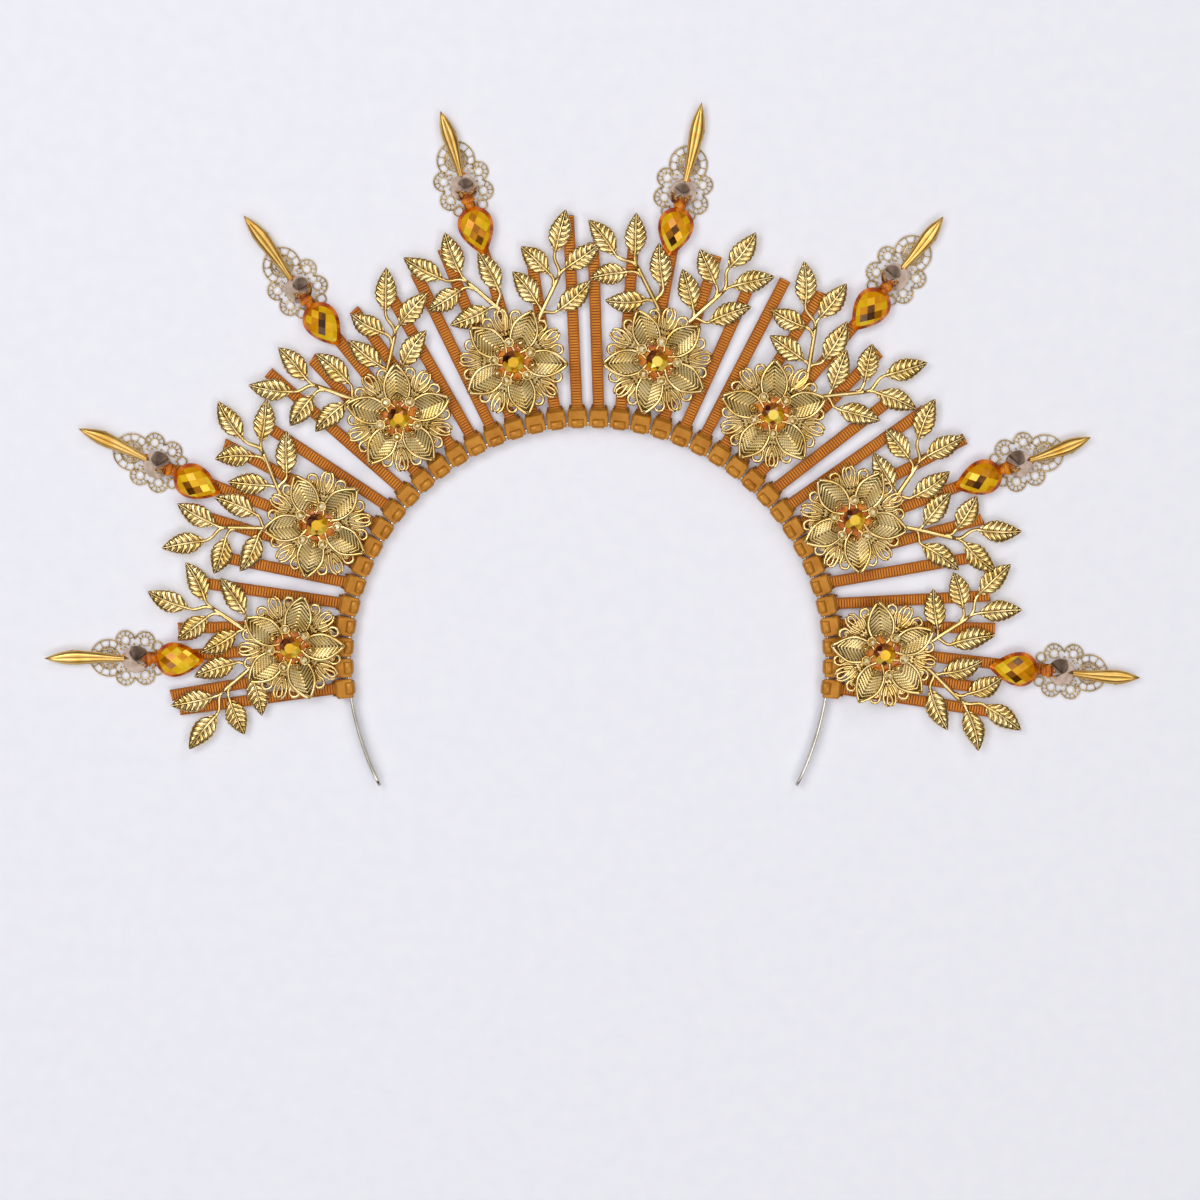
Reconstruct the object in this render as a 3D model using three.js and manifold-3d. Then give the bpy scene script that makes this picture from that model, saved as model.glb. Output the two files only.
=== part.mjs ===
// Sunburst crown headpiece: forty cable ties looped round a flat metal headband stand out as rays,
// and carry eight stamped flowers with leaf sprays and eight jewelled finials.
// Millimetres and degrees. The crown lies on its back: +Z is its front, +Y its top as worn.
// Angles turn clockwise from +Y about the centre of the headband's arc, and a reach is a radius there.
import * as THREE from "three";
import { ConvexGeometry } from "three/addons/geometries/ConvexGeometry.js";
import { mergeVertices } from "three/addons/utils/BufferGeometryUtils.js";
import Module from "manifold-3d";

const DEG = Math.PI / 180;
const GAP = 0.3; // clearance between a piece and what it rests on
const SINK = 0.3; // how far a soldered or glued piece runs into the one that carries it

const rows = (columns, ...table) =>
  table.map((row) => Object.fromEntries(columns.map((column, i) => [column, row[i]])));

// Headband: a flat strip on edge, an arc with two arms that bend in behind the ears.
const BAND = { innerRadius: 88.35, thickness: 1.2, back: 1.4, width: 3.9, halfArc: 99, arcSteps: 32 };
const ARM = { radius: 115, sweep: 17, steps: 4 };

// Cable ties: a strap through a head, its loop closed round the headband.
const TIE_PITCH = 4.94;
const STRAP = { width: 4.2, thickness: 1.1, back: 1.6, bend: 1.0 };
const HEAD = { width: 7.1, bottom: 89.85, height: 4.15, depth: 5.6, bevel: 0.8 };
const ROOT = { rise: 1.1, top: 91.7 }; // where the strap leaves the front of its head

// Flowers: a pierced stamped backing, five cupped petals, and a round stone on a bed of glue.
const FLOWER_BACK = 3.5;
const BACKING = { thickness: 1.0, lobes: 5, outer: 20.7 };
const LOBE_EDGE = rows(
  ["turn", "reach"],
  [-36, 14.6], [-23.8, 19.2], [-7.2, 20.1], [7.2, 20.1], [23.8, 19.2],
);
const SCROLL = { reach: 16.6, offset: 19, length: 3.4, width: 2.4 };
const PETAL = { root: 3.4, tip: 19.6, rootRise: 1.0, tipRise: 3.0, wall: 0.8 };
const PETAL_EDGE = rows(["reach", "halfWidth", "rise"], [10.2, 4.85, 3.0], [16.0, 3.6, 3.45]);
const STONE = { sides: 10, table: 2.3, girdle: 4.0, bed: 4.6, height: 3.6, girdleHeight: 2, bedHeight: 1.3 };

// Leaf sprays: a stalk and five ridged leaves, stamped flat, their roots under the flower.
const SPRAY_BACK = STRAP.back + STRAP.thickness + GAP;
const STALK = { halfWidth: 0.75, height: 1.2, full: 0.9, underFlower: 0.45, overlap: 0.5 };
const LEAF_STATIONS = rows(
  ["share", "halfWidth", "height"],
  [0, 0.75, 1.2], [0.3, 3.9, 1.4], [0.66, 3.2, 1.4],
);

// Finials: a pierced filigree plate behind the strap, a blade, a cone stud and a pear stone before it.
const FINIAL_BACK = STRAP.back + STRAP.thickness + GAP;
const PLATE = { back: 0.5, thickness: 0.8 };
const BLADE_ROOT = 2;
const BLADE_STATIONS = rows(
  ["share", "halfWidth", "height"],
  [0, 1.2, 1.7], [0.6, 2.6, 1.7], [0.8, 1.92, 1.36],
);
const STUD = { radius: 5.05, rim: 0.8, height: 6.2, sides: 10 };
const PEAR = { halfWidth: 6.5, length: 18, roundFrom: -20, roundTo: 200, sides: 8 };
const PEAR_LEVELS = rows(["scale", "height"], [0.9, 0], [1, 1.4], [0.5, 5.2]);
const STRAP_PAST_STUD = 1.5;
const GLUE_BAR = { width: 3.4, thickness: 1.2, underStone: 1.5 };
const SOLDER_POST = { width: 3.2, length: 2.8 }; // joins the blade to the plate past the strap's end

// Where each strap's cut end lies, and the slant of the cut; a null strap ends under its finial's stud.
const TAILS = rows(
  ["angle", "reach", "slant"],
  [-96.9, 152.8, 0], [-94.8, 155.4, 4], [null], [-85.4, 152.4, 3], [-78.5, 148.0, 0],
  [-74.0, 141.3, 0], [-69.3, 157.3, 0], [null], [-58.9, 156.5, 12], [-53.6, 149.9, 0],
  [-47.6, 159.1, 0], [-42.1, 151.3, 18], [null], [-33.4, 156.1, 8], [-28.1, 154.7, 0],
  [-23.7, 157.3, 0], [-19.2, 161.7, 0], [null], [-7.9, 152.4, 0], [-2.5, 165.0, 0],
  [0.7, 155.0, 0], [6.1, 162.1, 0], [null], [17.4, 157.3, 0], [23.1, 155.4, 0],
  [27.1, 158.7, 0], [32.1, 161.3, 12], [null], [43.0, 156.9, -6], [48.9, 149.1, 0],
  [53.0, 155.4, 0], [59.2, 161.7, 0], [null], [70.0, 155.0, 10], [74.8, 148.0, 0],
  [80.7, 150.6, 8], [85.4, 151.3, 0], [null], [94.0, 147.3, 10], [97.3, 152.4, 0],
);

// Each finial leans a little on its stud, off the line straight out.
const FINIALS = rows(
  ["angle", "dropReach", "studReach", "tipReach", "lean"],
  [-89.7, 151.1, 167.4, 201.5, 0],
  [-65.2, 158.4, 174.8, 206.5, 0],
  [-37.6, 157.9, 173.9, 207.4, 1.5],
  [-14.5, 164.4, 180.6, 209.8, -2.5],
  [11.3, 162.1, 176.4, 210.1, 0.5],
  [38.3, 166.0, 181.4, 209.6, 0],
  [65.1, 158.9, 174.9, 203.1, 4.5],
  [91.3, 157.7, 175.4, 204.8, 3],
);

// Each flower is turned a little on its centre, as it was glued. One close to the tie heads tilts too:
// its inner edge lies on them and its outer edge on the straps.
const FLOWERS = rows(
  ["angle", "reach", "turn", "tilt"],
  [-87.0, 109.8, -6, 5.0],
  [-62.7, 112.0, 3, 3.6],
  [-37.4, 114.4, -2, 0],
  [-13.8, 114.8, -2, 0],
  [12.8, 114.7, 2, 0],
  [36.4, 114.6, 1, 0],
  [61.4, 111.4, 4, 3.6],
  [88.3, 109.3, 12, 5.0],
);

// Each flower's two sprays: where the first leaves fork off the stalk, and its turn from straight out.
const SPRAYS = rows(
  ["flower", "angle", "reach", "turn"],
  [0, -90.7, 124.0, -41], [0, -84.9, 126.7, 28],
  [1, -67.2, 128.5, -23], [1, -60.8, 130.7, 38],
  [2, -41.3, 129.5, -30], [2, -34.9, 129.6, 46],
  [3, -14.0, 134.8, -37], [3, -7.7, 129.8, 32],
  [4, 10.7, 134.9, -39], [4, 16.7, 132.4, 30],
  [5, 36.7, 135.6, -29], [5, 41.4, 131.5, 41],
  [6, 61.8, 128.5, -30], [6, 67.7, 130.2, 34],
  [7, 86.3, 128.5, -31], [7, 91.8, 127.6, 42],
);

// One spray, x along its stalk from the first fork and y to its left: each leaf's stem, base and tip.
const STALK_END = [15.3, -0.3];
const SPRAY_LEAVES = rows(
  ["stem", "base", "tip"],
  [[0, 0], [3.6, 3.4], [10.2, 15.9]],
  [[0, 0], [5.2, -5.6], [19.2, -11.5]],
  [[11.5, 0.2], [15.6, 4.6], [19.8, 16.8]],
  [STALK_END, [24.2, 4.8], [38.9, 7.3]],
  [STALK_END, [20.2, -1.9], [32.9, -9.3]],
);

const FINISH = {
  band: { color: 0xc9c4b8, roughness: 0.3, metalness: 1 },
  tie: { color: 0xc0731f, roughness: 0.5, metalness: 0.1 },
  flower: { color: 0xd9b45a, roughness: 0.3, metalness: 1 },
  finial: { color: 0xd9a02a, roughness: 0.25, metalness: 0.6 },
};

const wasm = await Module();
wasm.setup();

// A closed three.js geometry as a solid that can be joined and cut.
function solidOf(geometry) {
  const bare = geometry.index ? geometry.toNonIndexed() : geometry.clone();
  bare.deleteAttribute("normal");
  bare.deleteAttribute("uv");
  const merged = mergeVertices(bare, 1e-4);
  const vertProperties = merged.attributes.position.array;
  const triVerts = new Uint32Array(merged.index.array);
  return new wasm.Manifold(new wasm.Mesh({ numProp: 3, vertProperties, triVerts }));
}

const joined = (geometries) => geometries.map(solidOf).reduce((whole, piece) => whole.add(piece));

function meshOf(name, solid, finish) {
  const { vertProperties, triVerts } = solid.getMesh();
  const geometry = new THREE.BufferGeometry();
  geometry.setAttribute("position", new THREE.BufferAttribute(vertProperties, 3));
  geometry.setIndex(new THREE.BufferAttribute(triVerts, 1));
  geometry.computeVertexNormals();
  const mesh = new THREE.Mesh(geometry, new THREE.MeshStandardMaterial(finish));
  mesh.name = name;
  return mesh;
}

const polar = (angle, reach) =>
  new THREE.Vector2(reach * Math.sin(angle * DEG), reach * Math.cos(angle * DEG));

// A flat outline in x and y, made solid from one height to another.
function slab(outline, back, thickness, holes = []) {
  const shape = new THREE.Shape(outline);
  shape.holes = holes.map((hole) => new THREE.Path(hole));
  return new THREE.ExtrudeGeometry(shape, { depth: thickness, bevelEnabled: false }).translate(0, 0, back);
}

// A regular outline of a given number of sides about a centre.
function ringOutline(x, y, radius, sides) {
  return Array.from({ length: sides }, (_, i) => {
    const turn = ((i + 0.5) / sides) * 2 * Math.PI;
    return new THREE.Vector2(x + radius * Math.cos(turn), y + radius * Math.sin(turn));
  });
}

// A flat bar between two points.
function bar([x0, y0], [x1, y1], width, back, thickness) {
  const length = Math.hypot(x1 - x0, y1 - y0);
  return new THREE.BoxGeometry(length, width, thickness)
    .rotateZ(Math.atan2(y1 - y0, x1 - x0))
    .translate((x0 + x1) / 2, (y0 + y1) / 2, back + thickness / 2);
}

// A profile of radius and height turned about Z.
function turned(profile, sides) {
  const points = profile.map(([radius, height]) => new THREE.Vector2(radius, height));
  return new THREE.LatheGeometry(points, sides).rotateX(Math.PI / 2);
}

// The smallest convex solid round a set of points.
const hull = (points) => new ConvexGeometry(points.map(([x, y, z]) => new THREE.Vector3(x, y, z)));

// A closed surface from its corners and its faces, which are corner numbers in anticlockwise order.
function faceted(corners, faces) {
  const geometry = new THREE.BufferGeometry();
  geometry.setAttribute("position", new THREE.Float32BufferAttribute(corners.flat(), 3));
  geometry.setIndex(faces.flat());
  return geometry;
}

const TIP_HEIGHT = 0.2;

// A flat-backed rib with a ridge, from one point to another, then drawn out to a sharp tip.
// Each station is a share of the length, with the half width and the ridge's height there.
function ridged([x0, y0], [x1, y1], back, stations) {
  const length = Math.hypot(x1 - x0, y1 - y0);
  const corners = stations.flatMap(({ share, halfWidth, height }) => [
    [share * length, -halfWidth, back],
    [share * length, halfWidth, back],
    [share * length, 0, back + height],
  ]);
  const faces = [[0, 2, 1]];
  const last = corners.length;
  for (let i = 0; i < last; i += 3) {
    for (let side = 0; side < 3; side++) {
      const a = i + side;
      const b = i + ((side + 1) % 3);
      if (i + 3 < last) faces.push([a, b, b + 3], [a, b + 3, a + 3]);
      else faces.push([a, b, last]);
    }
  }
  corners.push([length, 0, back + TIP_HEIGHT]);
  return faceted(corners, faces).rotateZ(Math.atan2(y1 - y0, x1 - x0)).translate(x0, y0, 0);
}

// Headband -------------------------------------------------------------------------------------

// The strip's edge at a radius: the arc from left to right, with an arm at each end.
function bandEdge(offset) {
  const radius = BAND.innerRadius + offset;
  const arc = Array.from({ length: BAND.arcSteps + 1 }, (_, i) =>
    polar(BAND.halfArc * ((2 * i) / BAND.arcSteps - 1), radius),
  );
  const armCentre = polar(BAND.halfArc, BAND.innerRadius - ARM.radius);
  const arm = Array.from({ length: ARM.steps }, (_, i) => {
    const turn = BAND.halfArc + (ARM.sweep * (i + 1)) / ARM.steps;
    return polar(turn, ARM.radius + offset).add(armCentre);
  });
  const mirrored = arm.map(({ x, y }) => new THREE.Vector2(-x, y)).reverse();
  return [...mirrored, ...arc, ...arm];
}

function headband() {
  const outline = [...bandEdge(BAND.thickness), ...bandEdge(0).reverse()];
  return solidOf(slab(outline.reverse(), BAND.back, BAND.width));
}

// Cable ties -----------------------------------------------------------------------------------

// One tie, its head straight above the origin: the tail leans to its own end.
function cableTie(tailEnd, slant) {
  const inner = {
    bottom: BAND.innerRadius - GAP,
    top: HEAD.bottom,
    back: BAND.back - GAP,
    front: BAND.back + BAND.width + GAP,
  };
  const under = inner.bottom - STRAP.thickness;
  const front = inner.front + STRAP.thickness;
  const loopOutline = [
    [HEAD.bottom + ROOT.rise, 0],
    [under + STRAP.bend, 0],
    [under, STRAP.bend],
    [under, front - STRAP.bend],
    [under + STRAP.bend, front],
    [ROOT.top, front],
    [ROOT.top + ROOT.rise, HEAD.depth - ROOT.rise],
  ].map(([y, z]) => new THREE.Vector2(y, z));
  const loopHole = [
    [inner.bottom, inner.back],
    [inner.bottom, inner.front],
    [inner.top, inner.front],
    [inner.top, inner.back],
  ].map(([y, z]) => new THREE.Vector2(y, z));
  const acrossX = new THREE.Matrix4().makeBasis(
    new THREE.Vector3(0, 1, 0),
    new THREE.Vector3(0, 0, 1),
    new THREE.Vector3(1, 0, 0),
  );
  const loop = slab(loopOutline.reverse(), -STRAP.width / 2, STRAP.width, [loopHole]).applyMatrix4(acrossX);

  const halfHead = HEAD.width / 2;
  const headOutline = [
    [-halfHead, 0],
    [halfHead, 0],
    [halfHead, HEAD.depth - HEAD.bevel],
    [halfHead - HEAD.bevel, HEAD.depth],
    [-halfHead + HEAD.bevel, HEAD.depth],
    [-halfHead, HEAD.depth - HEAD.bevel],
  ].map(([x, z]) => new THREE.Vector2(x, -z));
  const head = slab(headOutline.reverse(), 0, HEAD.height).rotateX(-Math.PI / 2);
  head.translate(0, HEAD.bottom, 0);

  const start = new THREE.Vector2(0, HEAD.bottom + HEAD.height / 2);
  const along = tailEnd.clone().sub(start).normalize();
  const across = new THREE.Vector2(along.y, -along.x).multiplyScalar(STRAP.width / 2);
  const cut = along.clone().multiplyScalar((STRAP.width / 2) * Math.tan(slant * DEG));
  const tailOutline = [
    start.clone().sub(across),
    start.clone().add(across),
    tailEnd.clone().add(across).add(cut),
    tailEnd.clone().sub(across).sub(cut),
  ];
  return joined([loop, head, slab(tailOutline, STRAP.back, STRAP.thickness)]);
}

// Flowers and their leaf sprays ----------------------------------------------------------------

const lobeAngle = (lobe) => (360 / BACKING.lobes) * lobe;

// The pierced backing: five lobes, each a crest between two scrolls, and each scroll open.
function backing() {
  const outline = [];
  const holes = [];
  for (let lobe = 0; lobe < BACKING.lobes; lobe++) {
    LOBE_EDGE.forEach(({ turn, reach }) => outline.push(polar(lobeAngle(lobe) + turn, reach)));
    for (const side of [-1, 1]) {
      const angle = lobeAngle(lobe) + side * SCROLL.offset;
      const spread = SCROLL.width / 2 / SCROLL.reach / DEG;
      holes.push([
        polar(angle, SCROLL.reach - SCROLL.length / 2),
        polar(angle + spread, SCROLL.reach),
        polar(angle, SCROLL.reach + SCROLL.length / 2),
        polar(angle - spread, SCROLL.reach),
      ]);
    }
  }
  return slab(outline.reverse(), FLOWER_BACK, BACKING.thickness, holes);
}

// A cupped petal: its midrib runs low from root to tip, and its two edges stand up.
function petal(angle) {
  const top = FLOWER_BACK + BACKING.thickness;
  const { root, tip, rootRise, tipRise, wall } = PETAL;
  const edge = (side) =>
    PETAL_EDGE.map(({ reach, halfWidth, rise }) => [side * halfWidth, reach, top + rise]);
  const face = [[0, root, top + rootRise], ...edge(1), [0, tip, top + tipRise], ...edge(-1).reverse()];
  const count = face.length;
  const back = face.map(([x, y, z]) => [x, y, z - wall]);
  const faces = [[0, 1, 2], [0, 2, 3], [0, 3, 4], [0, 4, 5]];
  faces.push(...faces.map(([i, j, k]) => [count + k, count + j, count + i]));
  for (let i = 0; i < count; i++) {
    const next = (i + 1) % count;
    faces.push([i, i + count, next + count], [i, next + count, next]);
  }
  return faceted([...face, ...back], faces).rotateZ(-angle * DEG);
}

function flower() {
  const top = FLOWER_BACK + BACKING.thickness;
  const pieces = [backing()];
  for (let lobe = 0; lobe < BACKING.lobes; lobe++) pieces.push(petal(lobeAngle(lobe + 0.5)));
  const profile = [
    [0, -SINK],
    [STONE.bed, -SINK],
    [STONE.bed, STONE.bedHeight],
    [STONE.girdle, STONE.girdleHeight],
    [STONE.table, STONE.height],
    [0, STONE.height],
  ];
  const flatTurn = Math.PI / STONE.sides; // a flat side, not a corner, faces each petal
  pieces.push(turned(profile, STONE.sides).rotateZ(flatTurn).translate(0, 0, top));
  return pieces;
}

// A leaf on its stem: pointed, with a ridge along it.
function leaf(stem, base, tip) {
  const stemLength = Math.hypot(base[0] - stem[0], base[1] - stem[1]);
  const length = stemLength + Math.hypot(tip[0] - base[0], tip[1] - base[1]);
  const blade = LEAF_STATIONS.map((station) => ({
    ...station,
    share: (stemLength + station.share * (length - stemLength)) / length,
  }));
  return ridged(stem, tip, SPRAY_BACK, [{ ...STALK, share: 0 }, ...blade]);
}

function leafSpray(fork, heading, towards) {
  const stalk = [{ ...STALK, share: 0 }, { ...STALK, share: STALK.full }];
  const start = [-STALK.overlap, 0];
  const end = [STALK_END[0] + 2 * STALK.overlap, STALK_END[1]];
  const pieces = [ridged(start, end, SPRAY_BACK, stalk)];
  for (const { stem, base, tip } of SPRAY_LEAVES) pieces.push(leaf(stem, base, tip));
  for (const piece of pieces) piece.rotateZ((90 - heading) * DEG).translate(fork.x, fork.y, 0);
  return [...pieces, ridged([towards.x, towards.y], [fork.x, fork.y], SPRAY_BACK, stalk)];
}

// One flower with its two sprays, soldered together, its centre straight above the origin.
function flowerSpray(index) {
  const { angle, reach, turn, tilt } = FLOWERS[index];
  const pieces = flower().map((piece) =>
    piece
      .rotateZ(-turn * DEG)
      .translate(0, -BACKING.outer, -FLOWER_BACK)
      .rotateX(-tilt * DEG)
      .translate(0, BACKING.outer + reach, FLOWER_BACK),
  );
  const centre = new THREE.Vector2(0, reach);
  for (const spray of SPRAYS.filter((row) => row.flower === index)) {
    const fork = polar(spray.angle - angle, spray.reach);
    const under = centre.clone().lerp(fork, STALK.underFlower);
    pieces.push(...leafSpray(fork, spray.angle - angle + spray.turn, under));
  }
  return joined(pieces);
}

// Finials --------------------------------------------------------------------------------------

// The plate's round lobes about the stud, in order round its edge: each shows an arc, with one opening.
const PLATE_LOBES = rows(
  ["x", "y", "radius", "opening", "from", "to"],
  [0, 10.5, 6.9, 4.4, -30, 210],
  [-6.7, 4.3, 3.6, 2.2, 100, 240],
  [-6.3, -2.9, 3.7, 2.3, 140, 270],
  [0, -7.9, 3.2, 0, 200, 340],
  [6.3, -2.9, 3.7, 2.3, -90, 40],
  [6.7, 4.3, 3.6, 2.2, -60, 80],
);
const ARC_STEP = 45;

function filigreePlate() {
  const outline = PLATE_LOBES.flatMap(({ x, y, radius, from, to }) => {
    const steps = Math.round((to - from) / ARC_STEP);
    return Array.from({ length: steps + 1 }, (_, i) => {
      const turn = (from + ((to - from) * i) / steps) * DEG;
      return new THREE.Vector2(x + radius * Math.cos(turn), y + radius * Math.sin(turn));
    });
  });
  const holes = PLATE_LOBES.filter(({ opening }) => opening > 0).map(({ x, y, opening }) =>
    ringOutline(x, y, opening, 5),
  );
  return slab(outline, PLATE.back, PLATE.thickness, holes);
}

// The blade: widest past its middle, with a ridge along it and thin edges.
const blade = (length) => ridged([0, BLADE_ROOT], [0, length], FINIAL_BACK, BLADE_STATIONS);

// A pear-shaped cut stone: round end outwards, with a girdle, one crown facet a side, and a table.
function pearStone(centre) {
  const { halfWidth, length, roundFrom, roundTo, sides } = PEAR;
  const roundAt = length / 2 - halfWidth;
  const outline = [[0, -length / 2]];
  for (let i = 0; i < sides - 1; i++) {
    const turn = (roundFrom + ((roundTo - roundFrom) * i) / (sides - 2)) * DEG;
    outline.push([halfWidth * Math.cos(turn), roundAt + halfWidth * Math.sin(turn)]);
  }
  const level = ({ scale, height }) =>
    outline.map(([x, y]) => [scale * x, centre + roundAt * (1 - scale) + scale * y, FINIAL_BACK + height]);
  return hull(PEAR_LEVELS.flatMap(level));
}

// One finial, the stud straight above the origin: all its pieces are soldered or glued together.
function finial({ dropReach, studReach, tipReach, lean }) {
  const drop = dropReach - studReach;
  const dropEnd = drop + PEAR.length / 2 - GLUE_BAR.underStone;
  const post = STRAP_PAST_STUD + GAP;
  const postBack = PLATE.back + SINK;
  const studProfile = [[0, 0], [STUD.radius, 0], [STUD.radius, STUD.rim], [0, STUD.height]];
  const pieces = [
    filigreePlate(),
    blade(tipReach - studReach),
    turned(studProfile, STUD.sides).translate(0, 0, FINIAL_BACK),
    pearStone(drop),
    bar([0, dropEnd], [0, -STUD.radius / 2], GLUE_BAR.width, FINIAL_BACK, GLUE_BAR.thickness),
    bar([0, post], [0, post + SOLDER_POST.length], SOLDER_POST.width, postBack, FINIAL_BACK - PLATE.back),
  ];
  return joined(pieces).rotate([0, 0, -lean]).translate([0, studReach, 0]);
}

// Assembly -------------------------------------------------------------------------------------

const crown = new THREE.Group();
const rays = new THREE.Group();
crown.add(rays);

const numbered = (name, index) => `${name}_${String(index + 1).padStart(2, "0")}`;

function place(mesh, angle) {
  mesh.rotation.z = -angle * DEG;
  rays.add(mesh);
}

place(meshOf("headband", headband(), FINISH.band), 0);

TAILS.forEach((tail, index) => {
  const angle = (index - (TAILS.length - 1) / 2) * TIE_PITCH;
  const carried = FINIALS[Math.floor(index / 5)];
  const endAngle = tail.angle ?? carried.angle;
  const endReach = tail.reach ?? carried.studReach + STRAP_PAST_STUD;
  const solid = cableTie(polar(endAngle - angle, endReach), tail.slant ?? 0);
  place(meshOf(numbered("tie", index), solid, FINISH.tie), angle);
});

FLOWERS.forEach(({ angle }, index) => {
  place(meshOf(`flower_spray_${index + 1}`, flowerSpray(index), FINISH.flower), angle);
});

FINIALS.forEach((row, index) => {
  place(meshOf(`finial_${index + 1}`, finial(row), FINISH.finial), row.angle);
});

// The origin is under the middle of the whole crown.
const bounds = new THREE.Box3().setFromObject(crown, true);
const middle = bounds.getCenter(new THREE.Vector3());
rays.position.set(-middle.x, -middle.y, -bounds.min.z);

export default crown;
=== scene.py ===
import math
import random

import bpy
import numpy as np
from mathutils import Matrix, Vector
from mathutils.geometry import tessellate_polygon


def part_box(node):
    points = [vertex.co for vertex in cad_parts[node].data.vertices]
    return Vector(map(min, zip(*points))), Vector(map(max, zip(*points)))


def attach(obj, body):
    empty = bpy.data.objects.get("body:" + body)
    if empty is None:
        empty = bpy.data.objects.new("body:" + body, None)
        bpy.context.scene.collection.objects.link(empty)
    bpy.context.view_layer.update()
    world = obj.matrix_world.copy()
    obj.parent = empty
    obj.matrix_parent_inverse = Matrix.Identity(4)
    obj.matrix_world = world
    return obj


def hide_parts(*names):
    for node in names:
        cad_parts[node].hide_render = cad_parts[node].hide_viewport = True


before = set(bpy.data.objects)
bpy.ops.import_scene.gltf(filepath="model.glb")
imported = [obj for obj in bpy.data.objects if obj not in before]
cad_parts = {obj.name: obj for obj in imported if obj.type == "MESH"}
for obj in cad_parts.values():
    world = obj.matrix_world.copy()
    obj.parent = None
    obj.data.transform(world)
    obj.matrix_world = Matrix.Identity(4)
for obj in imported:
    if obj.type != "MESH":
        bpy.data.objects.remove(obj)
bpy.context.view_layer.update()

# Camera, floor and lights ------------------------------------------------------------------
# The crown lies on its back on a pale matt table, and the camera hangs over it, leaning a few
# degrees towards its top. Four soft boxes stand round it. The room is bright overhead, has a dark
# band half way up and dark flags between pale walls, so that polished metal has both to mirror.

MM = 0.001
BAND = {"inner": 88.35, "thickness": 1.2, "back": 1.4, "width": 3.9, "half_arc": 99.0}  # mm, degrees
band_low, band_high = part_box("headband")
CENTRE = Vector((
    (band_low.x + band_high.x) / 2 / MM,
    band_high.y / MM - BAND["inner"] - BAND["thickness"],
    0.0,
))  # of the headband's arc, in mm
AIM_FROM_CENTRE = Vector((4.4, 22.9, 3.0))  # mm
FIELD = 444.0  # mm of table across the frame
CAMERA_LEAN = math.radians(8)

lens = bpy.data.cameras.new("Camera")
lens.lens = 135.0
lens.sensor_width = 36.0
camera = bpy.data.objects.new("Camera", lens)
camera_away = FIELD * lens.lens / lens.sensor_width
aim = CENTRE + AIM_FROM_CENTRE
camera.location = MM * (aim + camera_away * Vector((0, math.sin(CAMERA_LEAN), math.cos(CAMERA_LEAN))))
camera.rotation_euler = (-CAMERA_LEAN, 0, 0)
bpy.context.scene.collection.objects.link(camera)
bpy.context.scene.camera = camera
bpy.context.scene.view_settings.view_transform = "Standard"


def linear(colour):
    """An sRGB hex colour as linear red, green, blue and alpha."""
    channels = [int(colour[i : i + 2], 16) / 255 for i in (1, 3, 5)]
    return [c / 12.92 if c <= 0.04045 else ((c + 0.055) / 1.055) ** 2.4 for c in channels] + [1.0]


def add_node(tree, kind, inputs=None, **settings):
    """A new node: its settings, then each input given a value, or a link when it is a socket."""
    made = tree.nodes.new(kind)
    for name, value in settings.items():
        setattr(made, name, value)
    for socket, value in (inputs or {}).items():
        if isinstance(value, bpy.types.NodeSocket):
            tree.links.new(value, made.inputs[socket])
        else:
            made.inputs[socket].default_value = value
    return made


def ramp(tree, factor, *stops):
    """A colour ramp through (position, hex colour) stops."""
    made = add_node(tree, "ShaderNodeValToRGB", {"Fac": factor})
    elements = made.color_ramp.elements
    while len(elements) < len(stops):
        elements.new(0.5)
    for element, (position, colour) in zip(elements, stops):
        element.position = position
        element.color = linear(colour)
    return made.outputs["Color"]


def new_material(name, **surface):
    """A material with only its Principled shader, whose constant values are set on its sockets."""
    material = bpy.data.materials.new(name)
    material.use_nodes = True
    shader = material.node_tree.nodes["Principled BSDF"]
    for socket, value in surface.items():
        shader.inputs[socket.replace("_", " ")].default_value = value
    return material, material.node_tree, shader


def object_noise(tree, scale, detail):
    """Noise fixed to a piece's own coordinates, its scale in lumps to the metre."""
    place = add_node(tree, "ShaderNodeTexCoord").outputs["Object"]
    noise = add_node(tree, "ShaderNodeTexNoise", {"Vector": place, "Scale": scale, "Detail": detail})
    return noise.outputs["Fac"]


def feed(tree, shader, **sources):
    """Links each source to the shader's input of that name."""
    for socket, source in sources.items():
        tree.links.new(source, shader.inputs[socket.replace("_", " ")])


room = bpy.data.worlds.new("Studio room")
room.use_nodes = True
bpy.context.scene.world = room
sky = room.node_tree
direction = add_node(sky, "ShaderNodeTexCoord").outputs["Generated"]
height = add_node(sky, "ShaderNodeSeparateXYZ", {0: direction}).outputs["Z"]
walls = ramp(
    sky, height, (0.0, "#D8DAE6"), (0.16, "#ACAAB2"), (0.34, "#3A322A"), (0.66, "#463E34"), (0.8, "#CFCBC5"),
    (0.9, "#FFFFFF"), (1.0, "#F6F4F2"),
)
bearing = add_node(sky, "ShaderNodeTexGradient", {"Vector": direction}, gradient_type="RADIAL")
flags = ramp(
    sky, bearing.outputs["Fac"], (0.0, "#D8D4D0"), (0.06, "#FFFFFF"), (0.1, "#8A8078"), (0.13, "#3A322A"),
    (0.145, "#F0EEEC"), (0.25, "#FFFFFF"), (0.33, "#D0CCC8"), (0.36, "#4A423A"), (0.375, "#E8E4E0"),
    (0.5, "#C8C2BC"), (0.56, "#8A8078"), (0.58, "#3E362E"), (0.59, "#B0A8A0"), (0.75, "#968E86"),
    (0.85, "#B8B0A8"), (0.9, "#4A423A"), (0.915, "#D8D4D0"), (1.0, "#D8D4D0"),
)
low_down = ramp(sky, height, (0.0, "#FFFFFF"), (0.42, "#FFFFFF"), (0.66, "#000000"))
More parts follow.
